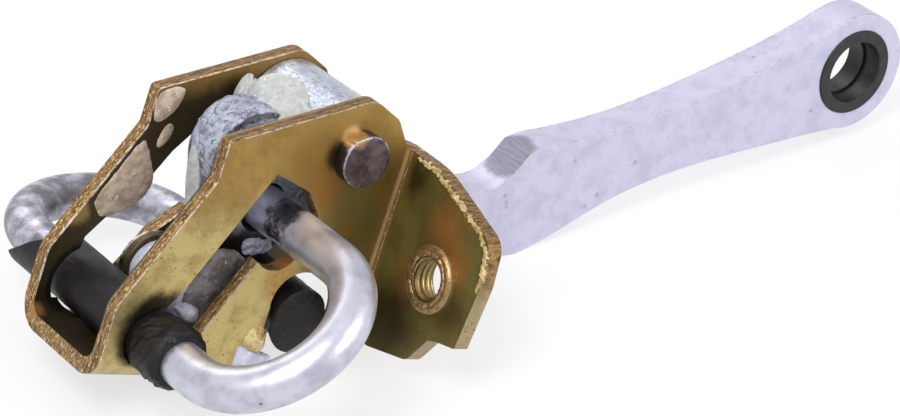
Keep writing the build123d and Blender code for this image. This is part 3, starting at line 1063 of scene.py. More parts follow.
@dataclass(frozen=True)
class PinSteel:
    """Dull bare steel of the pivot pin, hammered and stained on its end."""

    grey: Colour = tone(120, 110, 118)
    dark: Colour = tone(84, 74, 80)
    bright: Colour = tone(184, 178, 192)
    wall: Colour = tone(54, 46, 48)
    amber: Colour = tone(210, 172, 120)

    def material(self, space: YokeSpace) -> Material:
        """Build the finish: a mottled end, a painted highlight on its rim, and a side in painted
        shade with a painted reflection.

        Args:
            space: The yoke's space, which the patterns follow.

        Returns:
            The material.
        """
        graph = Graph("pin_steel", space)
        colour = graph.blend(graph.patches(0.38, 0.62, 4.0, 5.0, 0.65), self.grey, self.dark)
        nicks = graph.patches(0.64, 0.72, 0.8, 4.0, 0.7, graph.stretched((0.7, 1.0, 2.0)))
        colour = graph.coat(colour, self.bright, nicks, 0.5)
        # Painted shade on the pin's side
        turned = graph.either_way(graph.axis(graph.facing, 1))
        colour = graph.coat(colour, self.wall, graph.window(turned, 0.5, 0.2))
        # A painted amber reflection of the cheek on the pin's side
        glow = graph.spot((-3.0, -15.2, PLAN.pivot_z + 4.2), 2.4, 1.2, 0.5)
        colour = graph.coat(colour, self.amber, glow, 0.7)
        # A painted highlight on the end's rim, broken into patches
        rim = graph.times(graph.window(turned, 0.3, 0.5), graph.window(turned, 0.98, 0.9))
        patchy = graph.patches(0.42, 0.6, 1.8, 3.0)
        colour = graph.coat(colour, self.bright, rim, patchy, 0.8)
        normal = graph.bump(graph.noise(1.6, 4.0, 0.6), 0.12)
        rough = graph.spread(graph.noise(1.4, 3.0), 0.32, 0.5)
        return graph.finish(Base_Color=colour, Metallic=0.85, Roughness=rough, Normal=normal)


@dataclass(frozen=True)
class Grease:
    """Grease of one look: two colours that mix in streaks, over a ground of a third.

    The ground shows where noise passes the cover. Depth is the relief in millimetres,
    and glow the share of light that spreads under the surface.
    """

    name: str
    light: Colour
    heavy: Colour
    ground: Colour
    cover: float
    depth: float
    glow: float
    cover_fade: float = 0.06
    glint: Colour = (0.92, 0.93, 0.96, 1.0)

    def material(self, space: YokeSpace) -> Material:
        """Build the finish.

        Args:
            space: The yoke's space, which the patterns follow.

        Returns:
            A glossy material whose ground shows through where the cover is thin.
        """
        graph = Graph(self.name, space)
        colour = graph.blend(graph.patches(0.4, 0.62, 2.5, 5.0, 0.65), self.light, self.heavy)
        thin = graph.patches(
            self.cover - self.cover_fade, self.cover + self.cover_fade, 1.7, 5.0, 0.7, bend=1.0
        )
        colour = graph.coat(colour, self.ground, thin, 0.85)
        glints = graph.patches(0.64, 0.69, 0.7, 3.0, 0.7)
        colour = graph.coat(colour, self.glint, glints, 0.85)
        relief = graph.plus(graph.noise(1.6, 5.0, 0.7), graph.times(graph.noise(0.4, 3.0), 0.5))
        return graph.finish(
            Base_Color=colour,
            Roughness=0.2,
            IOR=1.47,
            Subsurface_Weight=self.glow,
            Subsurface_Radius=(0.6, 0.6, 0.5),
            Subsurface_Scale=0.002,
            Normal=graph.bump(relief, self.depth),
        )


class GreaseLook(Enum):
    """The looks of the grease, and of the burrs that shine as it does."""

    CREAM = Grease(
        name="grease_cream",
        light=tone(198, 200, 195),
        heavy=tone(182, 184, 179),
        ground=tone(166, 171, 182),
        cover=0.6, depth=0.16, glow=0.4,
    )
    FILM = Grease(
        name="grease_film",
        light=tone(178, 184, 200),
        heavy=tone(148, 150, 168),
        ground=tone(84, 82, 96),
        cover=0.55, depth=0.22, glow=0.1,
    )
    BROWN = Grease(
        name="grease_brown",
        light=tone(206, 186, 166),
        heavy=tone(172, 148, 124),
        ground=tone(128, 100, 70),
        cover=0.68, depth=0.1, glow=0.2,
    )
    GREY = Grease(
        name="grease_grey",
        light=tone(142, 136, 134),
        heavy=tone(104, 98, 94),
        ground=tone(196, 196, 206),
        cover=0.64, depth=0.12, glow=0.0,
    )
    BRONZE = Grease(
        name="golden_burr",
        light=tone(212, 190, 132),
        heavy=tone(170, 140, 84),
        ground=tone(110, 84, 46),
        cover=0.6, depth=0.12, glow=0.0,
    )
    ICE = Grease(
        name="grease_ice",
        light=tone(206, 208, 224),
        heavy=tone(182, 182, 204),
        ground=tone(230, 232, 240),
        cover=0.6, depth=0.14, glow=0.2,
    )


@dataclass(frozen=True)
class Paints:
    """The part's materials, each of which is made once."""

    yellow: Material
    silver: Material
    rod: Material
    rubber: Material
    bush: Material
    steel: Material
    grease: dict[GreaseLook, Material]

    @classmethod
    def mixed(cls, space: YokeSpace) -> Paints:
        """Build every finish.

        Args:
            space: The yoke's space, which the patterns follow.

        Returns:
            The materials.
        """
        return cls(
            yellow=YellowZinc().material(space),
            silver=BrightZinc().material(space),
            rod=RodZinc().material(space),
            rubber=Rubber().material(space),
            bush=BushPlastic().material(space),
            steel=PinSteel().material(space),
            grease={look: look.value.material(space) for look in GreaseLook},
        )


# ---------------------------------------------------------------------------
# Grease and loose burrs
# ---------------------------------------------------------------------------


# Carries a place (a, b) on a surface and a height above it into the yoke's space
Carrier = Callable[[np.ndarray, np.ndarray, np.ndarray], np.ndarray]


def on_wall(y: float) -> Carrier:
    """Return a carrier for the near side of a wall across Y, whose places are x and z.

    Args:
        y: The wall's y.

    Returns:
        The carrier.
    """

    def carry(a: np.ndarray, b: np.ndarray, height: np.ndarray) -> np.ndarray:
        """Lay the place on the wall and raise it towards the near side."""
        return np.stack([a, y - height, b], axis=-1)

    return carry


def on_level(z: float) -> Carrier:
    """Return a carrier for a level, whose places are x and y.

    Args:
        z: The level's height.

    Returns:
        The carrier.
    """

    def carry(a: np.ndarray, b: np.ndarray, height: np.ndarray) -> np.ndarray:
        """Lay the place on the level and raise it along Z."""
        return np.stack([a, b, z + height], axis=-1)

    return carry


def on_slope(start: Pair, stop: Pair) -> Carrier:
    """Return a carrier for a slanting wall, whose places are distance along it and y.

    Args:
        start: The x and z of the line's start.
        stop: The x and z of its end; the wall's outside lies to the right on the way.

    Returns:
        The carrier.
    """
    line = np.array([stop[0] - start[0], stop[1] - start[1]])
    line /= np.linalg.norm(line)

    def carry(a: np.ndarray, b: np.ndarray, height: np.ndarray) -> np.ndarray:
        """Lay the place on the wall and raise it along the wall's normal.

        Args:
            a: The distance along the line.
            b: The place's y.
            height: The height over the wall.

        Returns:
            The place in the yoke's space.
        """
        x = start[0] + a * line[0] + height * line[1]
        z = start[1] + a * line[1] - height * line[0]
        return np.stack([x, b, z], axis=-1)

    return carry


def on_round(centre: Pair, radius: float) -> Carrier:
    """Return a carrier for a round side about Y, whose places are arc length and y.

    Args:
        centre: The x and z of the side's axis.
        radius: The side's radius.

    Returns:
        The carrier.
    """

    def carry(a: np.ndarray, b: np.ndarray, height: np.ndarray) -> np.ndarray:
        """Turn the arc length into an angle from +X and raise the place outwards.

        Args:
            a: The arc length.
            b: The place's y.
            height: The height over the side.

        Returns:
            The place in the yoke's space.
        """
        turn = a / radius
        reach = radius + height
        return np.stack(
            [centre[0] + reach * np.cos(turn), b, centre[1] + reach * np.sin(turn)], axis=-1
        )

    return carry


@dataclass(frozen=True)
class Dab:
    """A lump of grease or a loose burr: a pillow over a rounded outline on a carrier.

    Lift is its height and sink how deep its flat underside lies. Lumps is how much its
    height varies, over waves of the lump size, and ragged how much its outline does.
    """

    name: str
    outline: list[Pair]
    carrier: Carrier
    look: GreaseLook
    body: str
    lift: float
    seed: float
    lumps: float
    lump_size: float
    ragged: float
    sink: float = 0.25
    corner_cuts: int = 3
    rays: int = 112
    rings: int = 30
    under_step: int = 6
    fall: float = 0.9
    edge_waves: float = 2.2
    thinnest: float = 0.04

    def rounded(self) -> np.ndarray:
        """Round the outline by cutting its corners, again and again.

        Returns:
            The rounded outline's corners.
        """
        corners = np.array(self.outline, float)
        for _ in range(self.corner_cuts):
            following = np.roll(corners, -1, axis=0)
            corners = np.stack(
                [0.75 * corners + 0.25 * following, 0.25 * corners + 0.75 * following], axis=1
            ).reshape(-1, 2)
        return corners

    def build(self, space: YokeSpace) -> Piece:
        """Build the lump.

        Along each ray the height follows a quarter circle that falls to the edge, times
        an uneven ripple, and a flat underside closes the lump.

        Args:
            space: The yoke's space, which carries the points.

        Returns:
            The lump.
        """
        corners = self.rounded()
        middle = corners.mean(axis=0)
        share = np.linspace(0.0, len(corners), self.rays, endpoint=False)
        index = np.arange(len(corners) + 1)
        closed = np.vstack([corners, corners[:1]])
        edge = np.stack([np.interp(share, index, closed[:, k]) for k in range(2)], axis=-1)
        wander = 1.0 + self.ragged * ripple(edge, self.edge_waves, self.seed + 3.0, 4)
        edge = middle + (edge - middle) * wander[:, None]
        reach = np.sin(np.linspace(0.0, math.pi / 2.0, self.rings)) ** self.fall
        flat = middle + reach[:, None, None] * (edge - middle)
        uneven = 1.0 + self.lumps * ripple(flat, self.lump_size, self.seed, 5)
        height = self.lift * np.sqrt(np.clip(1.0 - reach**2, 0.0, 1.0))[:, None] * uneven
        top = self.carrier(flat[..., 0], flat[..., 1], np.maximum(height, self.thinnest))
        below = flat[:: -self.under_step]
        under = self.carrier(below[..., 0], below[..., 1], np.full(below.shape[:2], -self.sink))
        grid = np.concatenate([top, under])
        return Skin(self.name, grid, wrap_columns=True, cap_ends=True).build(space)


def grease() -> list[Dab]:
    """List the lumps and smears of grease on the lock, and the arch's burr.

    Returns:
        The lumps, in the order in which they are built.
    """
    round_nose = on_round(PLAN.nose_top, PLAN.nose_top_radius)
    # The length of one degree round the nose
    arc = PLAN.nose_top_radius * math.pi / 180.0
    inner = PLAN.inner_face
    near_nose = on_wall(-PLAN.half_lever)
    return [
        Dab(
            name="grease_heap",
            outline=[
                (-13.5, 8.6), (-9.0, 9.6), (-3.0, 8.6), (1.0, 3.0), (0.0, -4.0), (-2.5, -9.8),
                (-9.0, -9.6), (-14.5, -3.0), (-15.5, 3.0),
            ],
            carrier=on_level(48.6),
            look=GreaseLook.CREAM, body="lever_arm",
            lift=6.3, seed=2.0, lumps=0.3, lump_size=9.0, ragged=0.05, sink=3.0,
        ),
        Dab(
            name="grease_peak",
            outline=[
                (-15.5, 4.0), (-11.5, 4.6), (-10.0, 7.6), (-11.5, 9.8), (-15.0, 9.2),
            ],
            carrier=on_level(49.6),
            look=GreaseLook.CREAM, body="lever_arm",
            lift=4.0, seed=5.0, lumps=0.4, lump_size=3.0, ragged=0.16, sink=1.0,
        ),
        Dab(
            name="grease_hub_smear",
            outline=[
                (-4.0, 9.8), (6.0, 9.9), (10.5, 4.0), (9.5, -6.0), (4.0, -10.0), (-3.0, -6.0),
            ],
            carrier=on_round((0.0, PLAN.pivot_z), PLAN.hub_radius),
            look=GreaseLook.FILM, body="lever_arm",
            lift=0.5, seed=4.0, lumps=0.7, lump_size=4.0, ragged=0.2,
        ),
        Dab(
            name="grease_nose_coat",
            outline=[
                (70.0 * arc, 4.0), (120.0 * arc, 4.6), (185.0 * arc, 4.2), (200.0 * arc, 0.0),
                (185.0 * arc, -4.2), (120.0 * arc, -4.7), (70.0 * arc, -4.2),
            ],
            carrier=round_nose,
            look=GreaseLook.FILM, body="lever_arm",
            lift=0.5, seed=6.0, lumps=0.5, lump_size=6.0, ragged=0.06,
        ),
        Dab(
            name="grease_nose_strip",
            outline=[
                (-3.0, 0.8), (-2.0, 3.4), (4.0, 4.3), (9.0, 4.3), (12.5, 3.4), (11.5, 0.4),
                (5.0, -0.6),
            ],
            carrier=on_slope((-24.3, 38.6), (-21.2, 28.2)),
            look=GreaseLook.CREAM, body="lever_arm",
            lift=0.8, seed=7.0, lumps=0.3, lump_size=4.0, ragged=0.06, sink=0.4,
        ),
        Dab(
            name="grease_nose_side",
            outline=[
                (-24.0, 42.0), (-21.0, 48.0), (-15.0, 50.2), (-8.5, 49.0), (-10.0, 46.6),
                (-17.0, 46.5), (-20.5, 41.0), (-21.5, 33.0), (-23.5, 34.5),
            ],
            carrier=near_nose,
            look=GreaseLook.FILM, body="lever_arm",
            lift=0.45, seed=8.0, lumps=0.6, lump_size=4.0, ragged=0.1,
        ),
        Dab(
            name="grease_slot_dab",
            outline=[
                (-12.7, 23.9), (-10.7, 25.8), (-5.8, 25.4), (-4.5, 23.7), (-8.0, 22.2),
                (-10.9, 22.1),
            ],
            carrier=near_nose,
            look=GreaseLook.ICE, body="lever_arm",
            lift=0.9, seed=9.0, lumps=0.8, lump_size=1.6, ragged=0.18, sink=0.1,
        ),
        Dab(
            name="grease_cheek_smear",
            outline=[
                (-30.2, 38.6), (-28.4, 36.5), (-26.6, 33.2), (-25.1, 30.3), (-25.4, 27.3),
                (-27.6, 24.4), (-31.8, 22.2), (-35.0, 21.8), (-37.3, 24.8), (-34.3, 30.2),
            ],
            carrier=on_wall(inner),
            look=GreaseLook.BROWN, body="yoke",
            lift=0.75, seed=10.0, lumps=0.2, lump_size=9.0, ragged=0.03,
        ),
        Dab(
            name="grease_corner_smear",
            outline=[
                (-29.6, 48.0), (-24.2, 49.6), (-23.8, 46.6), (-25.6, 43.0), (-28.8, 41.0),
                (-29.9, 44.5),
            ],
            carrier=on_wall(inner),
            look=GreaseLook.BROWN, body="yoke",
            lift=0.6, seed=11.0, lumps=0.2, lump_size=8.0, ragged=0.03,
        ),
        Dab(
            name="grease_cheek_drop",
            outline=[
                (-26.0, 41.6), (-24.1, 41.5), (-24.0, 38.7), (-26.0, 36.2), (-27.1, 37.3),
            ],
            carrier=on_wall(inner),
            look=GreaseLook.BROWN, body="yoke",
            lift=0.3, seed=12.0, lumps=0.1, lump_size=6.0, ragged=0.03,
        ),
        Dab(
            name="grease_stud_web",
            outline=[
                (-20.5, 24.0), (-22.2, 20.9), (-23.8, 18.3), (-25.0, 15.7), (-24.9, 12.6),
                (-20.0, 10.2), (-16.6, 13.0), (-14.2, 19.0), (-13.0, 22.6), (-16.0, 24.6),
            ],
            carrier=on_wall(-8.0),
            look=GreaseLook.GREY, body="yoke",
            lift=1.2, seed=13.0, lumps=0.15, lump_size=6.0, ragged=0.05, sink=0.9,
        ),
        Dab(
            name="grease_stud_drip",
            outline=[
                (-26.6, 12.1), (-25.2, 13.5), (-23.0, 13.6), (-20.2, 11.8), (-21.1, 9.0),
                (-23.4, 9.6),
            ],
            carrier=on_wall(-8.4),
            look=GreaseLook.ICE, body="yoke",
            lift=1.5, seed=14.0, lumps=0.1, lump_size=4.0, ragged=0.06, sink=0.6,
        ),
        Dab(
            name="grease_foot_smear",
            outline=[
                (-14.4, 2.4), (-14.6, 7.3), (-12.6, 8.4), (-9.2, 6.4), (-5.2, 5.6), (-3.4, 4.2),
                (-8.0, 2.0),
            ],
            carrier=on_wall(-13.2),
            look=GreaseLook.ICE, body="yoke",
            lift=0.9, seed=15.0, lumps=0.25, lump_size=4.0, ragged=0.1, sink=0.8,
        ),
        Dab(
            name="arch_burr_tab",
            outline=[
                (-12.7, 7.2), (-12.8, 10.6), (-11.2, 12.2), (-8.4, 11.8), (-7.3, 9.8),
                (-7.4, 7.0), (-8.6, 6.0), (-11.0, 6.6),
            ],
            carrier=on_wall(-13.4),
            look=GreaseLook.BRONZE, body="yoke",
            lift=1.5, seed=16.0, lumps=0.15, lump_size=4.0, ragged=0.08, sink=0.8,
        ),
    ]


@dataclass
class GreaseGroup:
    """The grease on the lever and the yoke, and the burr in the near cheek's arch."""

    space: YokeSpace
    paints: Paints

    def build(self) -> Iterator[Piece]:
        """Build and dress each lump.

        Returns:
            The lumps, one by one.
        """
        for dab in grease():
            piece = dab.build(self.space)
            dress(piece, self.paints.grease[dab.look])
            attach(piece, dab.body)
            yield piece


# ---------------------------------------------------------------------------
# Sub-assemblies
# ---------------------------------------------------------------------------


@dataclass
class YokeGroup:
    """The folded yoke, its pin, the lug's thread and the torn edges of the punching."""

    space: YokeSpace
    nodes: dict[str, Piece]
    paints: Paints
    edge_ease: float = 0.32
    edge_steps: int = 2
    pin_near: float = 17.3
    pin_far: float = 15.4
    pin_point: float = 0.02
    pin_end_depth: float = 0.2
    pin_dent: float = 0.1
    thread_pitch: float = 1.25
    thread_depth: float = 0.7
    thread_from: float = 10.45
    thread_to: float = 15.75
    thread_fade: float = 0.8
    rim_sink: float = 1.6
    lip_stand: float = 0.15
    lip_height: float = 0.42
    lip_radius: float = 4.75
    lip_thick: float = 0.55
    burr_stand: float = 0.1
    burr_thick: float = 0.42
    lug_rim: tuple[Pair, ...] = (
        (-16.5, 49.2),
        (-23.0, 49.1),
        (-32.5, 46.3),
        (-40.0, 43.9),
        (-42.8, 41.6),
        (-43.6, 37.8),
        (-43.7, 33.5),
    )

    def build(self) -> Iterator[Piece]:
        """Build and dress each piece.

        Returns:
            The pieces, one by one.
        """
        for make, paint in (
            (self.plate, self.paints.yellow),
            (self.pin, self.paints.steel),
            (self.thread, self.paints.yellow),
            (self.torn_lip, self.paints.yellow),
            (self.torn_edge, self.paints.grease[GreaseLook.BRONZE]),
        ):
            piece = make()
            dress(piece, paint)
            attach(piece, "yoke")
            yield piece

    def plate(self) -> Piece:
        """Round the plate's edges on a copy, which stands for the plain node.

        Returns:
            The copy.
        """
        node = self.nodes["yoke_bracket"]
        piece = eased_copy(node, "yoke_plate", self.edge_ease, self.edge_steps)
        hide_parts("yoke_bracket")
        return piece

    def pin(self) -> Piece:
        """Turn the pivot pin: a profile of reach and radius spun round the pivot's axis.

        The near end is slightly domed and hammered, which dents the end by a ripple.

        Returns:
            The pin.
        """
        radius, near, far = PLAN.pivot_radius, -self.pin_near, self.pin_far
        profile = [
            (near + 0.1, self.pin_point),
            (near + 0.1, radius * 0.35),
            (near + 0.08, radius * 0.7),
            (near + 0.02, radius - 0.6),
            (near + 0.05, radius - 0.3),
            (near + 0.14, radius - 0.1),
            (near + 0.35, radius),
            (near + 3.2, radius),
            (0.0, radius),
            (far - 0.5, radius),
            (far, radius - 0.6),
            (far, self.pin_point),
        ]
        reach, width = np.array(profile).T
        turn = around(96)
        x = width[:, None] * np.cos(turn)
        z = PLAN.pivot_z + width[:, None] * np.sin(turn)
        y = np.repeat(reach[:, None], len(turn), axis=1)
        grid = np.stack([x, y, z], axis=-1)
        near_end = (reach[:, None] < near + self.pin_end_depth).astype(float)
        grid[..., 1] += near_end * self.pin_dent * (1.0 + ripple(grid, 4.5, 3.0))
        piece = Skin("pivot_pin_end", grid, wrap_columns=True, cap_ends=True).build(self.space)
        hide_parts("pivot_pin")
        return piece

    def thread(self) -> Piece:
        """Cut the lug's thread: its radius falls from the wall by a ridge that climbs.

        The ridge's height is a rounded triangle wave of the place along the hole less
        the turn round it, so one turn climbs one pitch. The outer wall closes the ring.

        Returns:
            The thread.
        """
        along = np.linspace(self.thread_from, self.thread_to, 80)
        place, angle = np.meshgrid(along, around(96), indexing="ij")
        phase = place / self.thread_pitch - angle / FULL_TURN
        ridge = 1.0 - np.abs(2.0 * (phase - np.floor(phase)) - 1.0)
        ridge = smooth_step(ridge, 0.1, 0.85)
        fade = smooth_step(place, self.thread_from, self.thread_from + self.thread_fade)
        fade *= smooth_step(-place, -self.thread_to, -self.thread_to + self.thread_fade)
        radius = PLAN.thread_radius - 0.02 - self.thread_depth * ridge * fade
        wall = np.full((2, angle.shape[1]), PLAN.thread_radius + 0.05)
        radius = np.vstack([radius, wall])
        place = np.vstack([place, place[-1:], place[:1]])
        angle = np.vstack([angle, angle[-1:], angle[:1]])
        return self.hole_ring("lug_thread", place, radius, angle)

    def torn_lip(self) -> Piece:
        """Raise the torn lip that punching left round the hole's front rim.

        A small ring is carried round the hole, and its crest and its middle are pushed
        about by a ripple.

        Returns:
            The lip.
        """
        swing, angle = np.meshgrid(around(20), around(200), indexing="ij")
        circle = np.stack([np.cos(angle) * 5.0, np.sin(angle) * 5.0], axis=-1)
        wobble = ripple(circle, 2.4, 5.0, 5)
        middle = self.lip_radius + 0.2 * wobble
        thick = self.lip_thick + 0.22 * ripple(circle, 1.6, 9.0, 4)
        crest = PLAN.lug_face_x - self.rim_sink + self.lip_stand
        front = crest - self.lip_height * np.sin(swing) * (0.8 + 0.5 * wobble)
        return self.hole_ring("lug_torn_lip", front, middle + thick * np.cos(swing), angle)

    def hole_ring(self, name: str, x: np.ndarray, radius: np.ndarray, angle: np.ndarray) -> Piece:
        """Close a ring round the lug's hole from places of reach, radius and angle.

        Args:
            name: The piece's name.
            x: Each place's x.
            radius: Its distance from the hole's axis.
            angle: Its angle round the hole.

        Returns:
            The ring.
        """
        y, z = PLAN.thread_centre
        grid = np.stack([x, y + radius * np.cos(angle), z + radius * np.sin(angle)], axis=-1)
        piece = Skin(name, grid, wrap_rows=True, wrap_columns=True).build(self.space)
        return piece

    def torn_edge(self) -> Piece:
        """Run a crumpled golden burr along the lug's outer front edge.

        A thin tube follows the rim, and a ripple thickens it and pushes it about; it
        thins out to nothing at both ends.

        Returns:
            The burr.
        """
        rim = np.array(self.lug_rim)
        length = np.concatenate([[0.0], np.cumsum(np.linalg.norm(np.diff(rim, axis=0), axis=1))])
        along = np.linspace(0.0, length[-1], 320)
        path = np.stack([np.interp(along, length, rim[:, k]) for k in range(2)], axis=-1)
        slope = np.gradient(path, axis=0)
        slope /= np.linalg.norm(slope, axis=1)[:, None]
        inward = np.stack([-slope[:, 1], slope[:, 0]], axis=-1)
        fade = np.sqrt(np.clip(np.sin(np.linspace(0.0, math.pi, len(along))) * 4.0, 0.0, 1.0))
        bend = around(16)
        shape = np.stack([along, along * 0.3], axis=-1)
        wobble = ripple(shape, 2.3, 3.0, 5)[:, None]
        round_about = np.stack(np.broadcast_arrays(along[:, None], 0.8 * np.cos(bend)), axis=-1)
        thick = fade[:, None] * (self.burr_thick + 0.24 * ripple(round_about, 1.1, 6.0, 4))
        across = thick * np.cos(bend) * 1.3 + 0.3 * wobble * fade[:, None]
        grid = np.stack(
            [
                PLAN.lug_face_x + self.burr_stand - thick * np.sin(bend),
                path[:, None, 0] + across * inward[:, None, 0],
                path[:, None, 1] + across * inward[:, None, 1],
            ],
            axis=-1,
        )
        piece = Skin("lug_torn_edge", grid, wrap_columns=True, cap_ends=True).build(self.space)
        return piece


@dataclass
class SleeveGroup:
    """The rubber sleeves on the bow's two lower runs."""

    space: YokeSpace
    paints: Paints
    radius: float = 6.0
    bore: float = 4.4
    heel_near: float = -23.8
    toe_near: float = -15.0
    end_y: float = 26.0
    end_slant: float = 1.25
    tip_rise: float = -3.3
    fray: float = 0.35
    lip_inset: float = 0.35
    lip_bulge: float = 0.2
    nip: float = 0.6
    cap_inset: float = 0.5
    cap_bulge: float = 0.4
    droop: float = 1.4

    def build(self) -> Iterator[Piece]:
        """Build and dress both sleeves.

        Returns:
            The sleeves, one by one.
        """
        for make in (self.heel, self.toe):
            piece = make()
            dress(piece, self.paints.rubber)
            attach(piece, "bow")
            yield piece

    def spine(self, run: Pair, other: Pair, along: np.ndarray) -> tuple[np.ndarray, ...]:
        """Follow a run and then the far half ring towards the other run.

        Args:
            run: The run's x and z.
            other: The x and z of the run at the ring's other end.
            along: Distances along the path, which equal y until the ring starts.

        Returns:
            Each distance's place, and the two directions across the path there.
        """
        reach = np.array([other[0] - run[0], 0.0, other[1] - run[1]])
        ring = np.linalg.norm(reach) / 2.0
        reach /= 2.0 * ring
        ahead = np.array([0.0, 1.0, 0.0])
        turn = np.clip(along - PLAN.far_ring_y, 0.0, None)[..., None] / ring
        start = np.minimum(along, PLAN.far_ring_y)[..., None]
        place = np.array([run[0], 0.0, run[1]]) + ahead * (start + ring * np.sin(turn))
        place = place + reach * ring * (1.0 - np.cos(turn))
        across = np.cross(reach, ahead)
        tangent = ahead * np.cos(turn) + reach * np.sin(turn)
        return place, np.cross(tangent, across), np.broadcast_to(across, place.shape)

    def hose(
        self,
        name: str,
        runs: tuple[Pair, Pair],
        near: float,
        swell: Callable[[np.ndarray, np.ndarray], np.ndarray],
        capped: bool,
    ) -> Piece:
        """Wrap a wall round a run, out along its outside and over the far lip.

        Each line of the wall ends where it meets the slanting far end. An open hose
        also runs back down its bore, and a capped one starts from its cap's middle.

        Args:
            name: The piece's name.
            runs: The x and z of this run and of the one across the ring.
            near: The y of the near end.
            swell: Gives the outside radius from the distance and the angle round it.
            capped: Whether the near end is closed.

        Returns:
            The sleeve.
        """
        angle = around(80)
        _, first, second = self.spine(*runs, np.array([near]))
        rise = self.radius * (np.cos(angle) * first[0, 2] + np.sin(angle) * second[0, 2])
        fray = self.fray * ripple(np.stack([angle * 3.0, angle], axis=-1), 5.0, near)
        far = self.end_y - self.end_slant * np.maximum(rise, self.tip_rise) + fray
        along = near + np.linspace(0.0, 1.0, 110)[:, None] * (far - near)
        radii = swell(along, np.broadcast_to(angle, along.shape))
        start, end = along[:1], along[-1:]
        lip = radii[-1:] - self.lip_inset
        bore = np.full((1, len(angle)), self.bore)
        if capped:
            edge = radii[:1] - self.cap_inset
            along = np.concatenate([start, start, start, along, end + self.lip_bulge, end])
            radii = np.concatenate([edge * 0.02, edge * 0.5, edge, radii, lip, bore])
            along[:3] -= self.cap_bulge * np.array([[1.0], [0.9], [0.7]])
        else:
            along = np.concatenate([start, along, end + self.lip_bulge, end, start])
            radii = np.concatenate([radii[:1] - self.nip, radii, lip, bore, bore])
        place, first, second = self.spine(*runs, along)
        grid = place + radii[..., None] * (
            np.cos(angle)[None, :, None] * first + np.sin(angle)[None, :, None] * second
        )
        skin = Skin(name, grid, wrap_rows=not capped, wrap_columns=True, cap_ends=capped)
        piece = skin.build(self.space)
        return piece

    def heel(self) -> Piece:
        """Build the heel sleeve, bunched and torn where the near cheek nips it.

        Returns:
            The sleeve.
        """

        def swell(y: np.ndarray, angle: np.ndarray) -> np.ndarray:
            """Swell into a lumpy bunch outside the near cheek, with faint folds elsewhere.

            Args:
                y: The distance along the sleeve.
                angle: The angle round it.

            Returns:
                The outside radius.
            """
            place = np.stack([np.cos(angle) * 6.0, y, np.sin(angle) * 6.0], axis=-1)
            outside = smooth_step(-y, 14.4, 15.6)
            end = 0.8 * smooth_step(-y, 22.2, 23.8)
            folds = outside * (0.28 + 0.42 * ripple(place, 3.0, 2.0, 5)) - 0.16
            return self.radius + folds - end + 0.05 * ripple(place, 7.0, 7.0)

        piece = self.hose("heel_sleeve_hose", (PLAN.heel, PLAN.toe), self.heel_near, swell, False)
        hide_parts("heel_sleeve")
        return piece

    def toe(self) -> Piece:
        """Build the toe sleeve, closed and squashed at its near end.

        Returns:
            The sleeve.
        """
        _, first, second = self.spine(PLAN.toe, PLAN.heel, np.array([self.toe_near]))

        def swell(y: np.ndarray, angle: np.ndarray) -> np.ndarray:
            """Swell by a faint unevenness, and droop at the near end.

            Args:
                y: The distance along the sleeve.
                angle: The angle round it.

            Returns:
                The outside radius.
            """
            place = np.stack([np.cos(angle) * 6.0, y, np.sin(angle) * 6.0], axis=-1)
            down = -(np.cos(angle) * first[0, 2] + np.sin(angle) * second[0, 2])
            droop = self.droop * np.clip(down, 0.0, 1.0) * smooth_step(-y, 13.7, 14.6)
            return self.radius - 0.12 + 0.1 * ripple(place, 5.0, 4.0) + droop

        piece = self.hose("toe_sleeve_hose", (PLAN.toe, PLAN.heel), self.toe_near, swell, True)
        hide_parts("toe_sleeve")
        return piece


@dataclass
class LeverGroup:
    """The lever, whose pressed edges are well rounded."""

    nodes: dict[str, Piece]
    paints: Paints
    edge_ease: float = 0.8
    edge_steps: int = 3

    def build(self) -> Iterator[Piece]:
        """Round the lever's edges on a copy and dress it.

        Returns:
            The copy, which stands for the plain node.
        """
        piece = eased_copy(self.nodes["lever"], "lever_arm_plate", self.edge_ease, self.edge_steps)
        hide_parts("lever")
        dress(piece, self.paints.silver)
        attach(piece, "lever_arm")
        yield piece


@dataclass
class PlainGroup:
    """The pieces that keep the CAD's own form: the rod, the stud, its collar, the bush."""

    nodes: dict[str, Piece]
    paints: Paints

    def build(self) -> Iterator[Piece]:
        """Dress each piece.

        Returns:
            The pieces, one by one.
        """
        for name, paint in (
            ("bow_rod", self.paints.rod),
            ("keeper_stud", self.paints.grease[GreaseLook.ICE]),
            ("keeper_collar", self.paints.yellow),
            ("eye_bush_near", self.paints.bush),
            ("eye_bush_far", self.paints.bush),
        ):
            dress(self.nodes[name], paint)
            yield self.nodes[name]


# ---------------------------------------------------------------------------
# The studio
# ---------------------------------------------------------------------------


@dataclass(frozen=True)
class Lamp:
    """A square soft lamp: its side in metres and its power in watts."""

    name: str
    place: Triple
    side: float
    watts: float


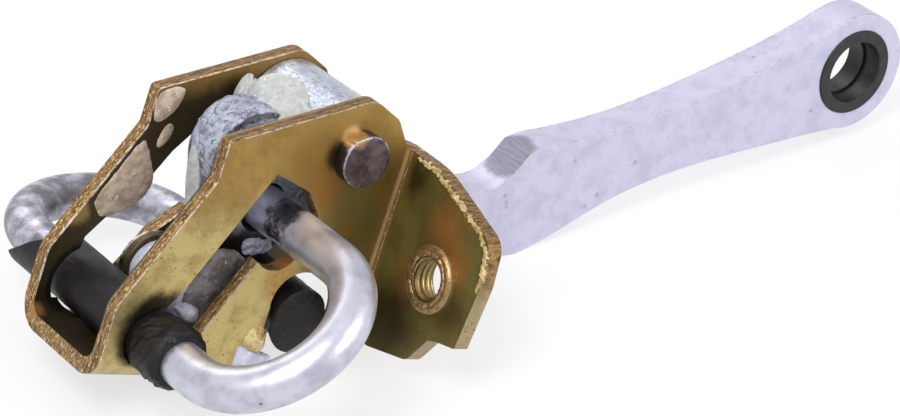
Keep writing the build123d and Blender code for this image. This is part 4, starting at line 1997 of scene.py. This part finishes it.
@dataclass
class Studio:
    """The floor, the lights and the camera at the photograph's viewing angle."""

    aim: Triple = (-0.01261, 0.00001, 0.01295)
    distance: float = 0.6998
    azimuth: float = 35.835
    elevation: float = 30.021
    roll: float = -1.282
    focal_length: float = 141.57
    sensor_width: float = 36.0
    nearest: float = 0.01
    furthest: float = 20.0
    floor_half: float = 3.0
    floor_colour: Colour = plain(0.9)
    floor_glow: float = 0.7
    fill_colour: Colour = (0.93, 0.95, 1.0, 1.0)
    fill_strength: float = 0.55
    lamps: tuple[Lamp, ...] = (
        Lamp("key_lamp", (-0.55, -0.35, 0.9), 0.5, 7.0),
        Lamp("side_lamp", (0.5, -0.8, 0.5), 0.5, 4.0),
        Lamp("back_lamp", (0.1, 0.9, 0.7), 0.6, 3.0),
    )

    def camera(self) -> None:
        """Aim the camera from its azimuth and elevation, then roll it."""
        azimuth, elevation = math.radians(self.azimuth), math.radians(self.elevation)
        forward = Vector(
            (
                math.sin(azimuth) * math.cos(elevation),
                math.cos(azimuth) * math.cos(elevation),
                -math.sin(elevation),
            )
        )
        level = forward.cross(Vector((0.0, 0.0, 1.0))).normalized()
        up = level.cross(forward)
        roll = math.radians(self.roll)
        rolled_up = up * math.cos(roll) + level * math.sin(roll)
        right = forward.cross(rolled_up)
        lens = bpy.data.cameras.new("camera")
        lens.lens = self.focal_length
        lens.sensor_width = self.sensor_width
        lens.sensor_fit = "HORIZONTAL"
        lens.clip_start = self.nearest
        lens.clip_end = self.furthest
        camera = bpy.data.objects.new("camera", lens)
        bpy.context.scene.collection.objects.link(camera)
        place = Vector(self.aim) - forward * self.distance
        axes = Matrix((right, rolled_up, -forward)).transposed()
        camera.matrix_world = Matrix.Translation(place) @ axes.to_4x4()
        bpy.context.scene.camera = camera

    def backdrop_rays(self, tree: bpy.types.NodeTree) -> Socket:
        """Tell the rays that show the backdrop from the rays that light the object.

        Args:
            tree: The node tree of the floor's material or of the world.

        Returns:
            1 for a camera, glossy or transmission ray, and 0 for another.
        """
        rays = tree.nodes.new("ShaderNodeLightPath")
        seen = rays.outputs["Is Camera Ray"]
        for name in ("Is Glossy Ray", "Is Transmission Ray"):
            either = tree.nodes.new("ShaderNodeMath")
            either.operation = "MAXIMUM"
            tree.links.new(seen, either.inputs[0])
            tree.links.new(rays.outputs[name], either.inputs[1])
            seen = either.outputs[0]
        return seen

    def end_in_mix(
        self, tree: bpy.types.NodeTree, share: Socket, under: Socket, over: Socket, output: str
    ) -> None:
        """End a tree in a mix of two shaders.

        Args:
            tree: The node tree.
            share: The second shader's share.
            under: The first shader.
            over: The second shader.
            output: The kind of the tree's output node.
        """
        mix = tree.nodes.new("ShaderNodeMixShader")
        for socket, value in zip(mix.inputs, (share, under, over)):
            tree.links.new(value, socket)
        tree.links.new(mix.outputs[0], tree.nodes.new(output).inputs["Surface"])

    def floor(self) -> None:
        """Lay a white floor that keeps the object's soft shadow."""
        half = self.floor_half
        mesh = bpy.data.meshes.new("floor")
        corners = [(-half, -half, 0.0), (half, -half, 0.0), (half, half, 0.0), (-half, half, 0.0)]
        mesh.from_pydata(corners, [], [(0, 1, 2, 3)])
        floor = bpy.data.objects.new("floor", mesh)
        bpy.context.scene.collection.objects.link(floor)
        material = bpy.data.materials.new("floor_white")
        material.use_nodes = True
        tree = material.node_tree
        tree.nodes.clear()
        matt = tree.nodes.new("ShaderNodeBsdfDiffuse")
        matt.inputs["Color"].default_value = self.floor_colour
        glow = tree.nodes.new("ShaderNodeEmission")
        share = tree.nodes.new("ShaderNodeMath")
        share.operation = "MULTIPLY"
        share.inputs[1].default_value = self.floor_glow
        tree.links.new(self.backdrop_rays(tree), share.inputs[0])
        shaders = (matt.outputs[0], glow.outputs[0])
        self.end_in_mix(tree, share.outputs[0], *shaders, "ShaderNodeOutputMaterial")
        mesh.materials.append(material)
        floor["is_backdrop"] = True

    def world(self) -> None:
        """Fill the room with soft light, and show white behind the object."""
        world = bpy.data.worlds.new("world")
        bpy.context.scene.world = world
        world.use_nodes = True
        tree = world.node_tree
        tree.nodes.clear()
        fill = tree.nodes.new("ShaderNodeBackground")
        fill.inputs["Color"].default_value = self.fill_colour
        fill.inputs["Strength"].default_value = self.fill_strength
        white = tree.nodes.new("ShaderNodeBackground")
        white.inputs["Strength"].default_value = 1.0
        shaders = (fill.outputs[0], white.outputs[0])
        self.end_in_mix(tree, self.backdrop_rays(tree), *shaders, "ShaderNodeOutputWorld")

    def hang(self, lamp: Lamp) -> None:
        """Hang a lamp that faces the object.

        Args:
            lamp: The lamp.
        """
        light = bpy.data.lights.new(lamp.name, "AREA")
        light.size = lamp.side
        light.energy = lamp.watts
        hung = bpy.data.objects.new(lamp.name, light)
        bpy.context.scene.collection.objects.link(hung)
        hung.location = lamp.place
        ahead = Vector(self.aim) - Vector(lamp.place)
        hung.rotation_euler = ahead.to_track_quat("-Z", "Y").to_euler()

    def build(self) -> None:
        """Set up the whole studio."""
        self.camera()
        self.floor()
        self.world()
        for lamp in self.lamps:
            self.hang(lamp)
        bpy.context.scene.view_settings.view_transform = "Standard"


def main() -> None:
    """Load the frame, build the sub-assemblies in order and report each piece."""
    logging.basicConfig(level=logging.INFO, format="%(message)s")
    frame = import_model()
    cad_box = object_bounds()
    nodes = frame["nodes"]
    space = YokeSpace(frame["joints"])
    paints = Paints.mixed(space)
    for group in (
        YokeGroup(space, nodes, paints),
        SleeveGroup(space, paints),
        LeverGroup(nodes, paints),
        GreaseGroup(space, paints),
        PlainGroup(nodes, paints),
    ):
        for piece in group.build():
            log.info("%s: %s", type(group).__name__, piece.name)
    Studio().build()
    boxes = {"cad": cad_box, "visual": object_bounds()}
    {key: [list(corner) for corner in box] for key, box in boxes.items()}


if __name__ == "__main__":
    main()
